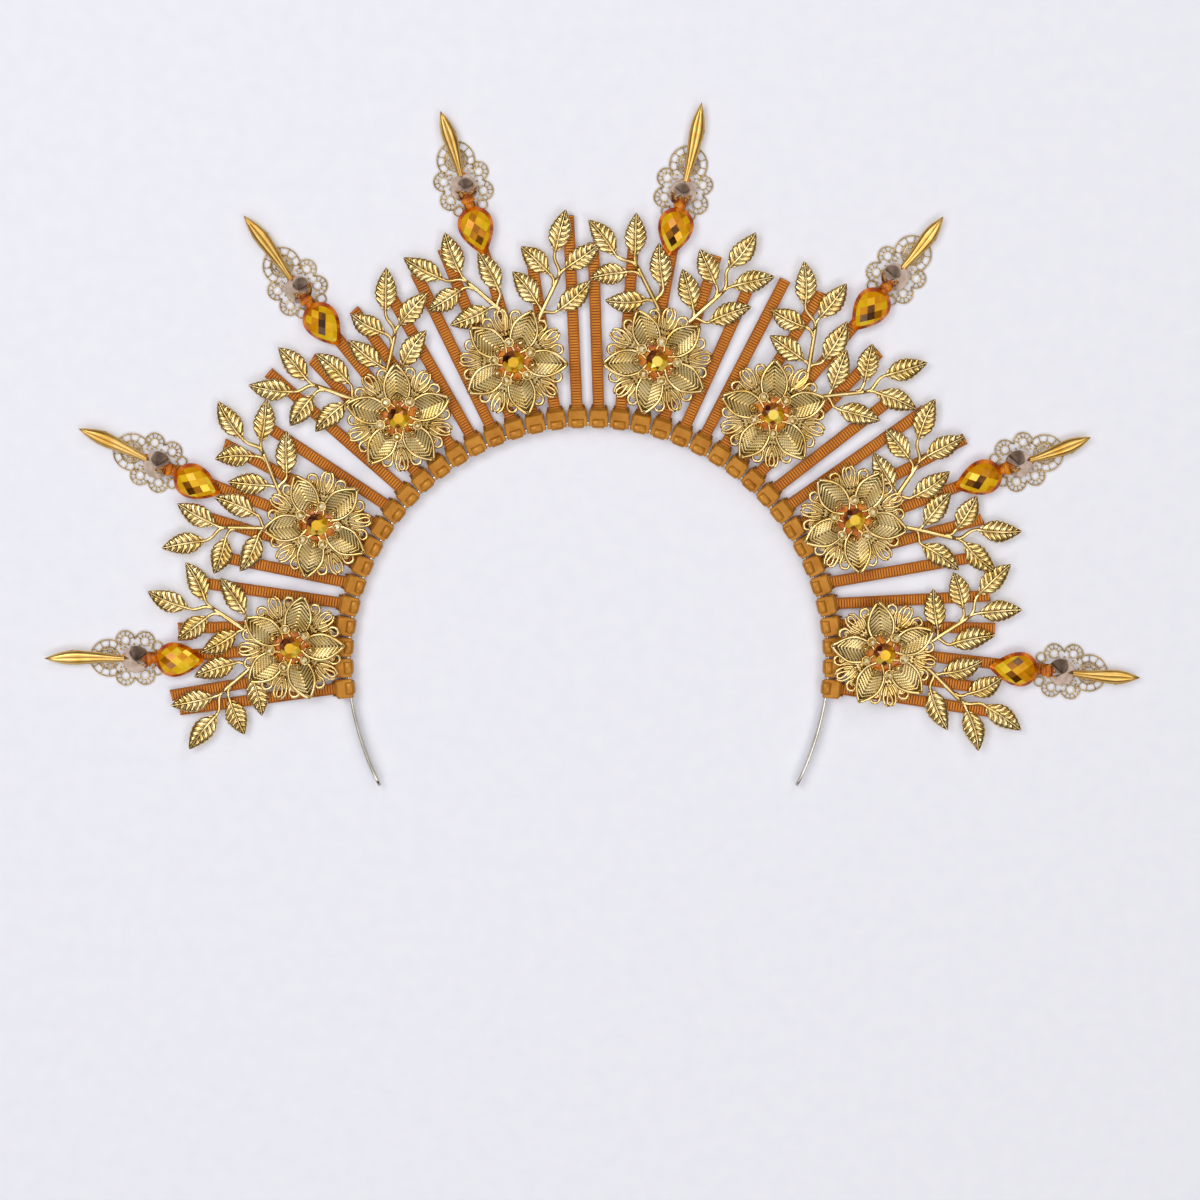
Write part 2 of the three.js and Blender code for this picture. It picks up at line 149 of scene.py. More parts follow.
flagged = add_node(
    sky, "ShaderNodeMix", {0: low_down, 6: walls, 7: flags}, data_type="RGBA", blend_type="MULTIPLY"
)
sky.links.new(flagged.outputs[2], sky.nodes["Background"].inputs["Color"])
sky.nodes["Background"].inputs["Strength"].default_value = 1.2

SOFT_BOXES = [  # azimuth and elevation in degrees, distance and side in metres, watts, colour
    (140, 58, 1.3, 0.55, 4.2, "#FFFFFF"),
    (-40, 60, 1.3, 0.45, 2.0, "#FFFDF8"),
    (60, 40, 1.4, 0.4, 1.9, "#FFFFFF"),
    (235, 44, 1.4, 0.4, 1.7, "#F4F6FF"),
]
for number, (azimuth, elevation, away, side, watts, colour) in enumerate(SOFT_BOXES, 1):
    box = bpy.data.lights.new(f"Soft_box_{number}", "AREA")
    box.size = side
    box.energy = watts
    box.color = linear(colour)[:3]
    lamp = bpy.data.objects.new(f"Soft_box_{number}", box)
    turn, rise = math.radians(azimuth), math.radians(elevation)
    towards = Vector((math.cos(turn) * math.cos(rise), math.sin(turn) * math.cos(rise), math.sin(rise)))
    lamp.location = MM * aim + away * towards
    lamp.rotation_euler = towards.to_track_quat("Z", "Y").to_euler()
    bpy.context.scene.collection.objects.link(lamp)

# Matt white paper, faintly lit from below and slightly cloudy, its clouds about 7 mm wide.
paper, tree, shader = new_material("Matt white light table", Roughness=0.9, Emission_Strength=0.1)
shader.inputs["Emission Color"].default_value = linear("#F2F3FC")
clouds = add_node(tree, "ShaderNodeTexNoise", {"Scale": 900.0, "Detail": 2.0}).outputs["Fac"]
feed(tree, shader, Base_Color=ramp(tree, clouds, (0.3, "#E7E8F2"), (0.7, "#EAEBF4")))

TABLE_SIDE = 6.0  # metres
table_corners = [(x * TABLE_SIDE / 2, y * TABLE_SIDE / 2, 0) for x, y in ((-1, -1), (1, -1), (1, 1), (-1, 1))]
table_mesh = bpy.data.meshes.new("Table")
table_mesh.from_pydata(table_corners, [], [(0, 1, 2, 3)])
table_mesh.materials.append(paper)
table = bpy.data.objects.new("Table", table_mesh)
bpy.context.scene.collection.objects.link(table)

# Headband ----------------------------------------------------------------------------------
# A spring steel strip on edge, rolled to an arc that grips the head, with an arm at each end that
# bends in behind the ear. Its long edges are rolled smooth and it is nickel plated.

ARM = {"radius": 115.0, "sweep": 17.0}  # mm, degrees
PLAIN = 0.5  # the tint of an ordinary face: darker ones carry painted shade in a groove, or a painted reflection of something dark
CAPS = 2  # faces of a loft that come before its sides


class Surface:
    """Closed surfaces in mm: points, faces, and for each face if it is smooth, its finish and its tint, which
    paints shade and reflections into its colour.
    """

    def __init__(self, points, faces, smooth=True, tints=None):
        self.points = np.array(points, float).reshape(-1, 3)
        self.faces = [tuple(face) for face in faces]
        self.smooth = [smooth] * len(self.faces)
        self.finish = [0] * len(self.faces)
        self.tints = list(tints) if tints is not None else [PLAIN] * len(self.faces)

    def __add__(self, other):
        return joined([self, other])

    def finished(self, finish):
        """The same surface in another of its piece's materials, by number."""
        self.finish = [finish] * len(self.faces)
        return self

    def toned(self, tint):
        """The same surface with one tint on all its faces."""
        self.tints = [tint] * len(self.faces)
        return self

    def placed(self, matrix):
        turned = np.array(matrix, float)
        made = Surface(self.points @ turned[:3, :3].T + turned[:3, 3], [])
        made.faces, made.smooth, made.finish, made.tints = self.faces, self.smooth, self.finish, self.tints
        return made


def joined(surfaces):
    """Several surfaces as one."""
    surfaces = list(surfaces)
    starts = np.cumsum([0] + [len(s.points) for s in surfaces])
    made = Surface(np.vstack([s.points for s in surfaces]), [])
    for start, s in zip(starts, surfaces):
        made.faces += [tuple(int(start) + i for i in face) for face in s.faces]
        made.smooth += s.smooth
        made.finish += s.finish
        made.tints += s.tints
    return made


def circle(centre, radius, turns, height):
    """Points about a centre in x and y, at turns anticlockwise from x in radians."""
    return [(centre[0] + radius * math.cos(t), centre[1] + radius * math.sin(t), height) for t in turns]


def full_turn(count):
    """That many even turns round a circle, in radians."""
    return np.linspace(0, 2 * math.pi, count, endpoint=False)


def loft(rings, smooth=True):
    """A flat cap at each end, then quads from ring to ring."""
    count = len(rings[0])
    faces = [tuple(range(count))[::-1], tuple((len(rings) - 1) * count + j for j in range(count))]
    for i in range(len(rings) - 1):
        for j in range(count):
            a, b = i * count + j, i * count + (j + 1) % count
            faces.append((a, b, b + count, a + count))
    return Surface(np.vstack(rings), faces, smooth)


def make_piece(name, surface, materials, replaced=()):
    """A mesh object of that surface, riding on the crown and standing for the CAD nodes it replaces."""
    mesh = bpy.data.meshes.new(name)
    mesh.from_pydata((surface.points * MM).tolist(), [], surface.faces)
    for material in materials:
        mesh.materials.append(material)
    mesh.polygons.foreach_set("use_smooth", surface.smooth)
    mesh.polygons.foreach_set("material_index", surface.finish)
    tint = mesh.attributes.new("tint", "FLOAT", "CORNER")
    lengths = [len(face) for face in surface.faces]
    tint.data.foreach_set("value", np.repeat(np.array(surface.tints, np.float32), lengths))
    mesh.validate()
    made = bpy.data.objects.new(name, mesh)
    bpy.context.scene.collection.objects.link(made)
    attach(made, "root")
    if replaced:
        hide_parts(*replaced)
    return made


def polar(angle, reach):
    """A point at an angle clockwise from the crown's top and a reach from a centre, in x and y."""
    turn = math.radians(angle)
    return Vector((reach * math.sin(turn), reach * math.cos(turn), 0.0))


def to_row(angle):
    """From a unit that stands straight above the arc's centre to its place on the crown."""
    return Matrix.Translation(CENTRE) @ Matrix.Rotation(-math.radians(angle), 4, "Z")


def band_path():
    """Points along the strip's middle with the outward direction at each, from left end to right."""
    middle = BAND["inner"] + BAND["thickness"] / 2
    arc = [(polar(a, middle), polar(a, 1)) for a in np.linspace(0, BAND["half_arc"], 60)]
    arm_centre = polar(BAND["half_arc"], BAND["inner"] - ARM["radius"])
    for a in np.linspace(BAND["half_arc"], BAND["half_arc"] + ARM["sweep"], 16)[1:]:
        arc.append((arm_centre + polar(a, ARM["radius"] + BAND["thickness"] / 2), polar(a, 1)))
    left = [(Vector((-p.x, p.y, 0)), Vector((-o.x, o.y, 0))) for p, o in arc[:0:-1]]
    return left + arc


def headband():
    path = band_path()
    half_thick, middle = BAND["thickness"] / 2, BAND["back"] + BAND["width"] / 2
    rings = []
    for index, (point, outward) in enumerate(path):
        from_end = min(index, len(path) - 1 - index)
        half_width = BAND["width"] / 2 * min(1.0, 0.62 + 0.19 * from_end)
        rings.append([
            point + outward * half_thick * math.copysign(abs(math.cos(t)) ** 0.5, math.cos(t))
            + Vector((0, 0, middle + half_width * math.copysign(abs(math.sin(t)) ** 0.35, math.sin(t))))
            for t in full_turn(16)
        ])
    return loft(rings)


def ranged(tree, value, low, high):
    """A value from 0 to 1 turned into one from low to high."""
    return add_node(tree, "ShaderNodeMapRange", {"Value": value, "To Min": low, "To Max": high}).outputs[0]


def bumped(tree, height, strength, distance):
    """The normal of a surface whose relief is that height, its distance in metres."""
    return add_node(
        tree, "ShaderNodeBump", {"Height": height, "Strength": strength, "Distance": distance}
    ).outputs[0]


# Nickel plated steel, drawn: bright, with fine streaks along the strip and a slightly uneven plate.
nickel, tree, shader = new_material("Nickel plated spring steel, drawn", Metallic=1.0)
place = add_node(tree, "ShaderNodeTexCoord").outputs["Object"]
drawn_out = add_node(tree, "ShaderNodeMapping", {"Vector": place, "Scale": (60.0, 60.0, 2500.0)})
streaks = add_node(tree, "ShaderNodeTexNoise", {"Vector": drawn_out.outputs[0], "Scale": 1.0, "Detail": 3.0})
feed(
    tree,
    shader,
    Base_Color=ramp(tree, object_noise(tree, 90.0, 4.0), (0.35, "#B9B2A6"), (0.65, "#DCD8D0")),
    Roughness=ranged(tree, streaks.outputs["Fac"], 0.12, 0.34),
    Normal=bumped(tree, streaks.outputs["Fac"], 0.2, 0.00005),
)

strip = headband().placed(Matrix.Translation(CENTRE))
make_piece("headband_strip", strip, [nickel], ["headband"])

# Cable ties --------------------------------------------------------------------------------
# Forty moulded nylon ties, each pulled tight round the headband with its head outwards, so that the
# ribbed tail stands out as a ray. They are dyed through in a golden brown with a metallic lustre.
# Eight of them carry the finials, and all were cut by hand, some square and some on a slant.

TIE_COUNT, TIE_PITCH = 40, 4.94  # degrees from one head to the next
STRAP = {"width": 4.2, "thickness": 1.1, "back": 1.6, "rail": 0.55, "floor": 2.15}
HEAD = {"bottom": 89.85, "top": 94.0, "depth": 6.0}
HEAD_BLOCKS = [  # half width, lower and upper end, back, front and bevel in mm
    (3.55, 90.85, 94.0, 0.05, 6.0, 0.55),  # the head itself
    (3.3, 89.85, 93.5, 0.05, 4.7, 0.55),  # its sunk lower part
    (3.55, 87.7, 91.85, 5.38, 5.98, 0.25),  # the cheek plate over the loop
    (3.15, 92.8, 94.75, 0.3, 2.9, 0.35),  # the shoulder round the strap
    (2.45, 93.0, 94.5, 1.2, 3.3, 0.2),  # the lip of the strap's window
]
TAB = {"inner": 2.1, "width": 0.75, "bottom": 93.8, "top": 95.5, "back": 1.4, "front": 3.0, "bevel": 0.15}
LOOP = {"width": 4.4, "thickness": 1.05, "corner": 1.0, "slack": 0.3}
# The ribs are a fifth coarser than real ones, to show.
RIB = {"pitch": 1.0, "length": 0.66, "width": 3.25, "height": 0.42, "from_head": 2.9, "from_cut": 0.5}


def block(low, high, bevel):
    """A box with every edge bevelled."""
    low, high = np.array(low), np.array(high)

    def ring(z, inset):
        x0, y0, x1, y1 = low[0] + inset, low[1] + inset, high[0] - inset, high[1] - inset
        b = bevel
        corners = [(x0 + b, y0), (x1 - b, y0), (x1, y0 + b), (x1, y1 - b)]
        corners += [(x1 - b, y1), (x0 + b, y1), (x0, y1 - b), (x0, y0 + b)]
        return [(x, y, z) for x, y in corners]

    rings = [ring(low[2], bevel), ring(low[2] + bevel, 0), ring(high[2] - bevel, 0), ring(high[2], bevel)]
    return loft(rings, False)


def strip_along(path, width, thickness):
    """A flat strap bent along (y, z) points, its width across x."""
    right = [(0.44, -0.5), (0.5, -0.3), (0.5, 0.3), (0.44, 0.5)]
    section = right + [(-a, b) for a, b in right[::-1]]
    rings = []
    for i, (y, z) in enumerate(path):
        (y0, z0), (y1, z1) = path[max(i - 1, 0)], path[min(i + 1, len(path) - 1)]
        size = math.hypot(y1 - y0, z1 - z0)
        ny, nz = (z0 - z1) / size, (y1 - y0) / size
        rings.append([(a * width, y + b * thickness * ny, z + b * thickness * nz) for a, b in section])
    return loft(rings)


def tie_head():
    """The head straight above the arc's centre, with the loop round the band and the strap's two tabs."""
    parts = [
        block((-half, low, back), (half, high, front), bevel)
        for half, low, high, back, front, bevel in HEAD_BLOCKS
    ]
    bottom, front, back, r = HEAD["bottom"], HEAD["depth"] + 0.1, LOOP["thickness"] / 2 + 0.02, LOOP["corner"]
    under = BAND["inner"] - LOOP["slack"] - LOOP["thickness"] / 2 + r
    path = [(bottom + 0.3, front - 0.9), (bottom + 0.2, front - 0.3), (bottom - 0.1, front)]
    quarter = np.linspace(0, math.pi / 2, 6)
    path += [(under - r * math.sin(t), front - r + r * math.cos(t)) for t in quarter]
    path += [(under - r * math.cos(t), back + r - r * math.sin(t)) for t in quarter]
    path.append((bottom + 0.6, back))
    parts.append(strip_along(path, LOOP["width"], LOOP["thickness"]))
    for side in (-1, 1):
        x0, x1 = sorted((side * TAB["inner"], side * (TAB["inner"] + TAB["width"])))
        tab = block((x0, TAB["bottom"], TAB["back"]), (x1, TAB["top"], TAB["front"]), TAB["bevel"])
        # The tabs beside the strap get painted shade.
        parts.append(tab.toned(0.1))
    return joined(parts).finished(1)


def cut_end(node):
    """The left and right corners of a tie's cut end, from its CAD solid, in mm about the arc's centre."""
    points = np.array([v.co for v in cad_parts[node].data.vertices]) / MM - np.array(CENTRE)
    reach = np.hypot(points[:, 0], points[:, 1])
    end = points[reach > reach.max() - STRAP["width"]]
    middle = (end.min(0) + end.max(0)) / 2
    side = end[:, 0] * middle[1] - end[:, 1] * middle[0]
    return [Vector((*end[side * sign > 0][:, :2].mean(0), 0.0)) for sign in (-1, 1)]


def tail_edges(angle, node):
    """A tail's left and right edge, each as its start at the head and its end at the cut."""
    left_end, right_end = cut_end(node)
    start = polar(angle, (HEAD["bottom"] + HEAD["top"]) / 2)
    along = ((left_end + right_end) / 2 - start).normalized()
    across = Vector((along.y, -along.x, 0)) * STRAP["width"] / 2
    return (start - across, left_end), (start + across, right_end)


def tie_tail(left, right):
    """The strap: a flat back, and on its front a smooth rail along each edge of a sunk floor."""
    back, front = STRAP["back"], STRAP["back"] + STRAP["thickness"]
    inner = 0.5 - STRAP["rail"] / STRAP["width"]
    section = [  # share of the width from the middle, height
        (0.46, back), (0.5, back + 0.2), (0.5, front - 0.15), (0.47, front), (inner, front),
        (inner - 0.03, STRAP["floor"]),
    ]
    sunk_floor = CAPS + len(section) - 1
    section += [(-x, z) for x, z in section[::-1]]
    rings = []
    for end in (0, 1):
        middle, across = (left[end] + right[end]) / 2, right[end] - left[end]
        rings.append([middle + across * x + Vector((0, 0, z)) for x, z in section])
    made = loft(rings, False)
    # The sunk floor between the rails gets painted shade.
    made.tints[sunk_floor] = 0.0
    return made


def new_node_group(name, *inputs):
    """An empty geometry tree with a Geometry input and output and these named inputs."""
    group = bpy.data.node_groups.new(name, "GeometryNodeTree")
    group.interface.new_socket("Geometry", in_out="INPUT", socket_type="NodeSocketGeometry")
    for label, kind in inputs:
        group.interface.new_socket(label, in_out="INPUT", socket_type=kind)
    group.interface.new_socket("Geometry", in_out="OUTPUT", socket_type="NodeSocketGeometry")
    return group, add_node(group, "NodeGroupInput").outputs


def finish_group(group, geometry, material):
    """Ends a tree with Realize Instances and Set Material."""
    real = add_node(group, "GeometryNodeRealizeInstances", {"Geometry": geometry})
    coated = add_node(group, "GeometryNodeSetMaterial", {"Geometry": real.outputs[0], "Material": material})
    add_node(group, "NodeGroupOutput", {"Geometry": coated.outputs[0]})


def grown(group, seed_mesh, smooth=True, **values):
    """The surface that a geometry tree makes from a mesh in mm. Its inputs are given by their names."""
    holder = bpy.data.objects.new("seed", seed_mesh)
    bpy.context.scene.collection.objects.link(holder)
    modifier = holder.modifiers.new("grow", "NODES")
    modifier.node_group = group
    for item in group.interface.items_tree:
        key = item.name.replace(" ", "_")
        if item.in_out == "INPUT" and key in values:
            modifier[item.identifier] = values[key]
    evaluated = holder.evaluated_get(bpy.context.evaluated_depsgraph_get())
    mesh = bpy.data.meshes.new_from_object(evaluated)
    points = np.zeros(len(mesh.vertices) * 3)
    mesh.vertices.foreach_get("co", points)
    made = Surface(points, [tuple(p.vertices) for p in mesh.polygons], smooth)
    holder.modifiers.remove(modifier)
    bpy.data.objects.remove(holder)
    bpy.data.meshes.remove(mesh)
    return made


def rib_group():
    """One bar across the strap at every pitch along its middle line."""
    group, given = new_node_group(
        "Strap ribs",
        ("Pitch", "NodeSocketFloat"),
        ("Rib", "NodeSocketVector"),
        ("Material", "NodeSocketMaterial"),
    )
    line = add_node(group, "GeometryNodeMeshToCurve", {"Mesh": given["Geometry"]})
    pitched = {"Curve": line.outputs[0], "Length": given["Pitch"]}
    spaced = add_node(group, "GeometryNodeResampleCurve", pitched, mode="LENGTH")
    rib = add_node(group, "GeometryNodeMeshCube", {"Size": given["Rib"]})
    along = add_node(group, "GeometryNodeInputTangent")
    facing = add_node(group, "FunctionNodeAlignRotationToVector", {"Vector": along.outputs[0]}, axis="Y")
    ribs = add_node(
        group,
        "GeometryNodeInstanceOnPoints",
        {"Points": spaced.outputs[0], "Instance": rib.outputs["Mesh"], "Rotation": facing.outputs[0]},
    )
    finish_group(group, ribs.outputs[0], given["Material"])
    return group


def tie_ribs(left, right):
    """The ribs of one tail, from just past its head to just short of its cut end."""
    start, end = [(left[i] + right[i]) / 2 for i in (0, 1)]
    reach = (end - start).length
    height = Vector((0, 0, STRAP["floor"] + RIB["height"] / 2 - 0.05))
    shares = (RIB["from_head"] / reach, 1 - RIB["from_cut"] / reach)
    line = bpy.data.meshes.new("rib_line")
    line.from_pydata([start.lerp(end, share) + height for share in shares], [(0, 1)], [])
    size = (RIB["width"], RIB["length"], RIB["height"])
    return grown(ribbing, line, False, Pitch=RIB["pitch"], Rib=size, Material=highlit_rib_nylon).finished(2)


def with_painted_shade(tree, colour, deep):
    """That colour, going over to a deep one, as painted shade, on the faces whose tint is less than plain."""
    tint = add_node(tree, "ShaderNodeAttribute", attribute_name="tint").outputs["Fac"]
    share = add_node(tree, "ShaderNodeMapRange", {"Value": tint, "From Max": PLAIN}).outputs[0]
    mixed = add_node(tree, "ShaderNodeMix", {0: share, 6: linear(deep), 7: colour}, data_type="RGBA")
    return mixed.outputs[2]


def nylon(name, deep, dark, light, rough):
    """Moulded nylon 6/6 with a pearl pigment: satin, faintly cloudy where the melt flowed, with the
    mould's fine spark grain of about 0.15 mm and a soft golden sheen."""
    material, tree, shader = new_material(name, Metallic=0.3, Specular_IOR_Level=0.3)
    flow, spark = object_noise(tree, 180.0, 5.0), object_noise(tree, 3300.0, 2.0)
    feed(
        tree,
        shader,
        Base_Color=with_painted_shade(tree, ramp(tree, flow, (0.3, dark), (0.7, light)), deep),
        Roughness=ranged(tree, flow, rough - 0.07, rough + 0.1),
        Normal=bumped(tree, spark, 0.25, 0.00004),
    )
    return material


# One nylon in three copies: the strap darker as painted shade, the heads lighter as painted light, the ribs
# lighter as a painted highlight; each copy's deep colour is painted shade.
shaded_strap_nylon = nylon("Pearl brown nylon, strap", "#703404", "#945006", "#B0640C", 0.45)
lit_head_nylon = nylon("Pearl brown nylon, moulded head", "#5A2E06", "#AE6E18", "#C4862C", 0.34)
highlit_rib_nylon = nylon("Pearl brown nylon, rubbed ribs", "#703404", "#C47018", "#D48626", 0.4)

ribbing, head = rib_group(), tie_head()
for number in range(1, TIE_COUNT + 1):
    node = f"tie_{number:02d}"
    angle = (number - (TIE_COUNT + 1) / 2) * TIE_PITCH
    left, right = tail_edges(angle, node)
    tail = (tie_tail(left, right) + tie_ribs(left, right)).placed(Matrix.Translation(CENTRE))
    tie = tail + head.placed(to_row(angle))
    make_piece(f"cable_{node}", tie, [shaded_strap_nylon, lit_head_nylon, highlit_rib_nylon], [node])

# Flowers -----------------------------------------------------------------------------------
# Each is a stack of stamped brass: a pierced backing of five scrolled lobes, five cupped petals with
# a ribbed leaf texture and a rolled rim. All of it is polished and plated pale gold.

FLOWERS = [  # angle in degrees, reach in mm, turn in degrees, tilt in degrees where it lies on tie heads
    (-87.0, 109.8, -6, 5.0),
    (-62.7, 112.0, 3, 3.6),
    (-37.4, 114.4, -2, 0),
    (-13.8, 114.8, -2, 0),
    (12.8, 114.7, 2, 0),
    (36.4, 114.6, 1, 0),
    (61.4, 111.4, 4, 3.6),
    (88.3, 109.3, 12, 5.0),
]
LOBES = 5
BACKING = {"back": 3.5, "thickness": 0.7, "outer": 20.7}
PETAL_SEAT = BACKING["back"] + 1.0  # the height at which the petals and the glue start
PETAL = {"root": 3.4, "tip": 19.8, "root_rise": 0.9, "tip_rise": 2.0, "edge_rise": 0.85, "wall": 0.45}
PETAL_OUTLINE = [  # reach, half width in mm
    (3.4, 0.3), (5, 2.2), (7, 3.7), (9, 4.4), (11, 4.7), (12.5, 4.65), (14, 4.25), (15.5, 3.55), (17, 2.6),
    (18.2, 1.65), (19.1, 0.85), (19.8, 0.1),
]
# The petals' ribs are half as coarse again as real ones, to show.
# The groove value is the tint of the painted shade between the ribs.
PETAL_RIB = {"pitch": 1.3, "height": 0.22, "lean": 0.8, "samples": 8, "groove": 0.04, "crest": 0.1}
PETAL_RIM = 0.6
LOBE_WIRES = [  # x, y and height above the plate at each point; the wire's radius at each
    (
        [(0.4, 11, 0.4), (1.2, 12.6, 0.5), (1.9, 14.4, 0.45), (2.3, 16.4, 0.4), (2.15, 18.2, 0.35),
         (1.4, 19.5, 0.3), (0.4, 19.9, 0.3)],
        [0.36, 0.44, 0.5, 0.52, 0.5, 0.42, 0.3],
    ),
    ([(6.2, 11, 0.3), (7.6, 12, 0.35), (8.5, 13.6, 0.3), (8.3, 15.2, 0.2)], [0.34, 0.42, 0.42, 0.3]),
    ([(1.4, 9, 0.4), (3, 9.6, 0.55), (4.6, 9.7, 0.5), (6.2, 9.4, 0.3)], [0.35, 0.5, 0.46, 0.3]),
    ([(0.8, 9.6, 0.4), (2.2, 10.7, 0.55), (3.4, 12.1, 0.45)], [0.3, 0.42, 0.3]),
]
SCROLL_ROOT = [(1.6, 11.2, 0.35), (2.9, 12.9, 0.4), (3.5, 14.4, 0.4)]
SCROLL_WIRE = {"start": 0.42, "full": 0.64, "end": 0.34, "full_at": 11}  # radii; the point where it is full
CREST_GRAINS = [(12.4, 0.5, 0.42), (13.2, 0.4, 0.36), (10.0, 0.5, 0.45)]  # y, height and radius
LOBE_GRAINS = [  # x to either side, y and radius
    (5.2, 15.2, 0.5), (4.9, 11.6, 0.45), (3.75, 16.6, 0.36), (4.1, 17.6, 0.34), (3.5, 15.6, 0.36),
    (5.6, 13.3, 0.4), (6.6, 13.5, 0.38), (4.5, 13.2, 0.38), (6.8, 12.4, 0.38), (2.2, 9.8, 0.34),
    (7.4, 14.4, 0.36),
]
PLATE_EDGE = [(-36, 12.4), (-31, 14.6), (-25, 16.6), (-17, 16.8), (-10, 15.6), (0, 16.2)]  # turn, reach
PLATE_EYES = [(21, 15.9, 0.9, 0.5), (8, 14.0, 0.3, 0.8)]  # turn to either side, reach, half sizes


def lines_mesh(name, paths):
    """A mesh of lines from (points, closed, radii) paths, with each point's radius as its thickness."""
    points, edges, radii = [], [], []
    for path, closed, radius in paths:
        start, count = len(points), len(path)
        points += [tuple(p) for p in path]
        edges += [(start + i, start + i + 1) for i in range(count - 1)]
        if closed:
            edges.append((start + count - 1, start))
        radii += [float(r) for r in np.broadcast_to(radius, count)]
    mesh = bpy.data.meshes.new(name)
    mesh.from_pydata(points, edges, [])
    mesh.attributes.new("thickness", "FLOAT", "POINT").data.foreach_set("value", radii)
    return mesh


def wire_group():
    """Wire drawn along lines, round in section, its radius at each point the attribute thickness."""
    group, given = new_node_group(
        "Drawn wire", ("Sides", "NodeSocketInt"), ("Material", "NodeSocketMaterial")
    )
    line = add_node(group, "GeometryNodeMeshToCurve", {"Mesh": given["Geometry"]})
    section = add_node(
        group, "GeometryNodeCurvePrimitiveCircle", {"Resolution": given["Sides"], "Radius": 1.0}
    )
    thickness = add_node(group, "GeometryNodeInputNamedAttribute", {"Name": "thickness"}, data_type="FLOAT")
    wire = add_node(
        group,
        "GeometryNodeCurveToMesh",
        {
            "Curve": line.outputs[0],
            "Profile Curve": section.outputs[0],
            "Scale": thickness.outputs[0],
            "Fill Caps": True,
        },
    )
    finish_group(group, wire.outputs[0], given["Material"])
    return group


def granule_group():
    """Small round grains soldered on at points, each of the radius that the attribute thickness gives."""
    group, given = new_node_group(
        "Granulation", ("Rings", "NodeSocketInt"), ("Material", "NodeSocketMaterial")
    )
    grain = add_node(
        group, "GeometryNodeMeshUVSphere", {"Segments": 8, "Rings": given["Rings"], "Radius": 1.0}
    )
    thickness = add_node(group, "GeometryNodeInputNamedAttribute", {"Name": "thickness"}, data_type="FLOAT")
    grains = add_node(
        group,
        "GeometryNodeInstanceOnPoints",
        {"Points": given["Geometry"], "Instance": grain.outputs["Mesh"], "Scale": thickness.outputs[0]},
    )
    finish_group(group, grains.outputs[0], given["Material"])
    return group


def plated_gold(name, deep, dark, light, rough):
    """Stamped brass, polished and plated: pale gold, a little warmer where it is thin, with painted shade and
    painted dark reflections on the faces whose tint is low, its shine broken only by fine handling scratches
    of 0.1 mm."""
    material, tree, shader = new_material(name, Metallic=1.0)
    tone, scratches = object_noise(tree, 160.0, 4.0), object_noise(tree, 5000.0, 2.0)
    feed(
        tree,
        shader,
        Base_Color=with_painted_shade(tree, ramp(tree, tone, (0.32, dark), (0.62, light)), deep),
        Roughness=ranged(tree, scratches, rough - 0.05, rough + 0.1),
        Normal=bumped(tree, tone, 0.05, 0.0001),
    )
    return material


flower_gold = plated_gold("Pale gold plated stamped brass", "#3A2608", "#DDB868", "#F5DA9C", 0.19)
wires, granules = wire_group(), granule_group()


def drawn(paths, sides=6):
    """Wire along (points, closed, radii) paths."""
    return grown(wires, lines_mesh("wire_lines", paths), Sides=sides, Material=flower_gold)


def grains(spots, rings=4):
    """Grains at (x, y, z, radius) spots."""
    mesh = lines_mesh("spots", [([spot[:3]], False, spot[3]) for spot in spots])
    return grown(granules, mesh, Rings=rings, Material=flower_gold)


def sheet(rows, wall, tones):
    """A thin sheet from rows of points on its front, its back a wall thickness below. The tones, one for
    each front point, give the tint of the front faces."""
    rows, tones = np.array(rows, float), np.array(tones)
    made = loft([np.vstack([row, row[::-1] - (0, 0, wall)]) for row in rows])
    front = (tones[:-1, :-1] + tones[1:, :-1] + tones[:-1, 1:] + tones[1:, 1:]) / 4
    grid = np.full((len(rows) - 1, 2 * tones.shape[1]), PLAIN)
    grid[:, : front.shape[1]] = front
    made.tints = [PLAIN] * CAPS + grid.ravel().tolist()
    return made


def pierced_plate(outline, holes, back, thickness):
    """A flat plate from an outline and holes, each a list of x and y points."""
    loops = [outline] + holes
    points = [tuple(p[:2]) for loop in loops for p in loop]
    count = len(points)
    triangles = tessellate_polygon([[Vector((p[0], p[1], 0)) for p in loop] for loop in loops])
    faces = [tuple(count + i for i in face) for face in triangles] + [tuple(face[::-1]) for face in triangles]
    start = 0
    for loop in loops:
        for i in range(len(loop)):
            a, b = start + i, start + (i + 1) % len(loop)
            faces.append((a, b, b + count, a + count))
        start += len(loop)
    both = [(x, y, back) for x, y in points] + [(x, y, back + thickness) for x, y in points]
    return Surface(both, faces, False)


def between(table, place):
    """The second column of a table of pairs at a place along the first."""
    return float(np.interp(place, [row[0] for row in table], [row[1] for row in table]))


def petal_half_width(share):
    return between(PETAL_OUTLINE, PETAL["root"] + (PETAL["tip"] - PETAL["root"]) * share)


def petal_height(share, side):
    """How high the petal's face stands at a share of its length and of its half width."""
    low = PETAL["root_rise"] + (PETAL["tip_rise"] - PETAL["root_rise"]) * share
    cup = math.sin(math.pi * min(0.1 + 0.8 * share, 1)) ** 0.6
    return PETAL_SEAT + low + PETAL["edge_rise"] * abs(side) ** 1.3 * cup


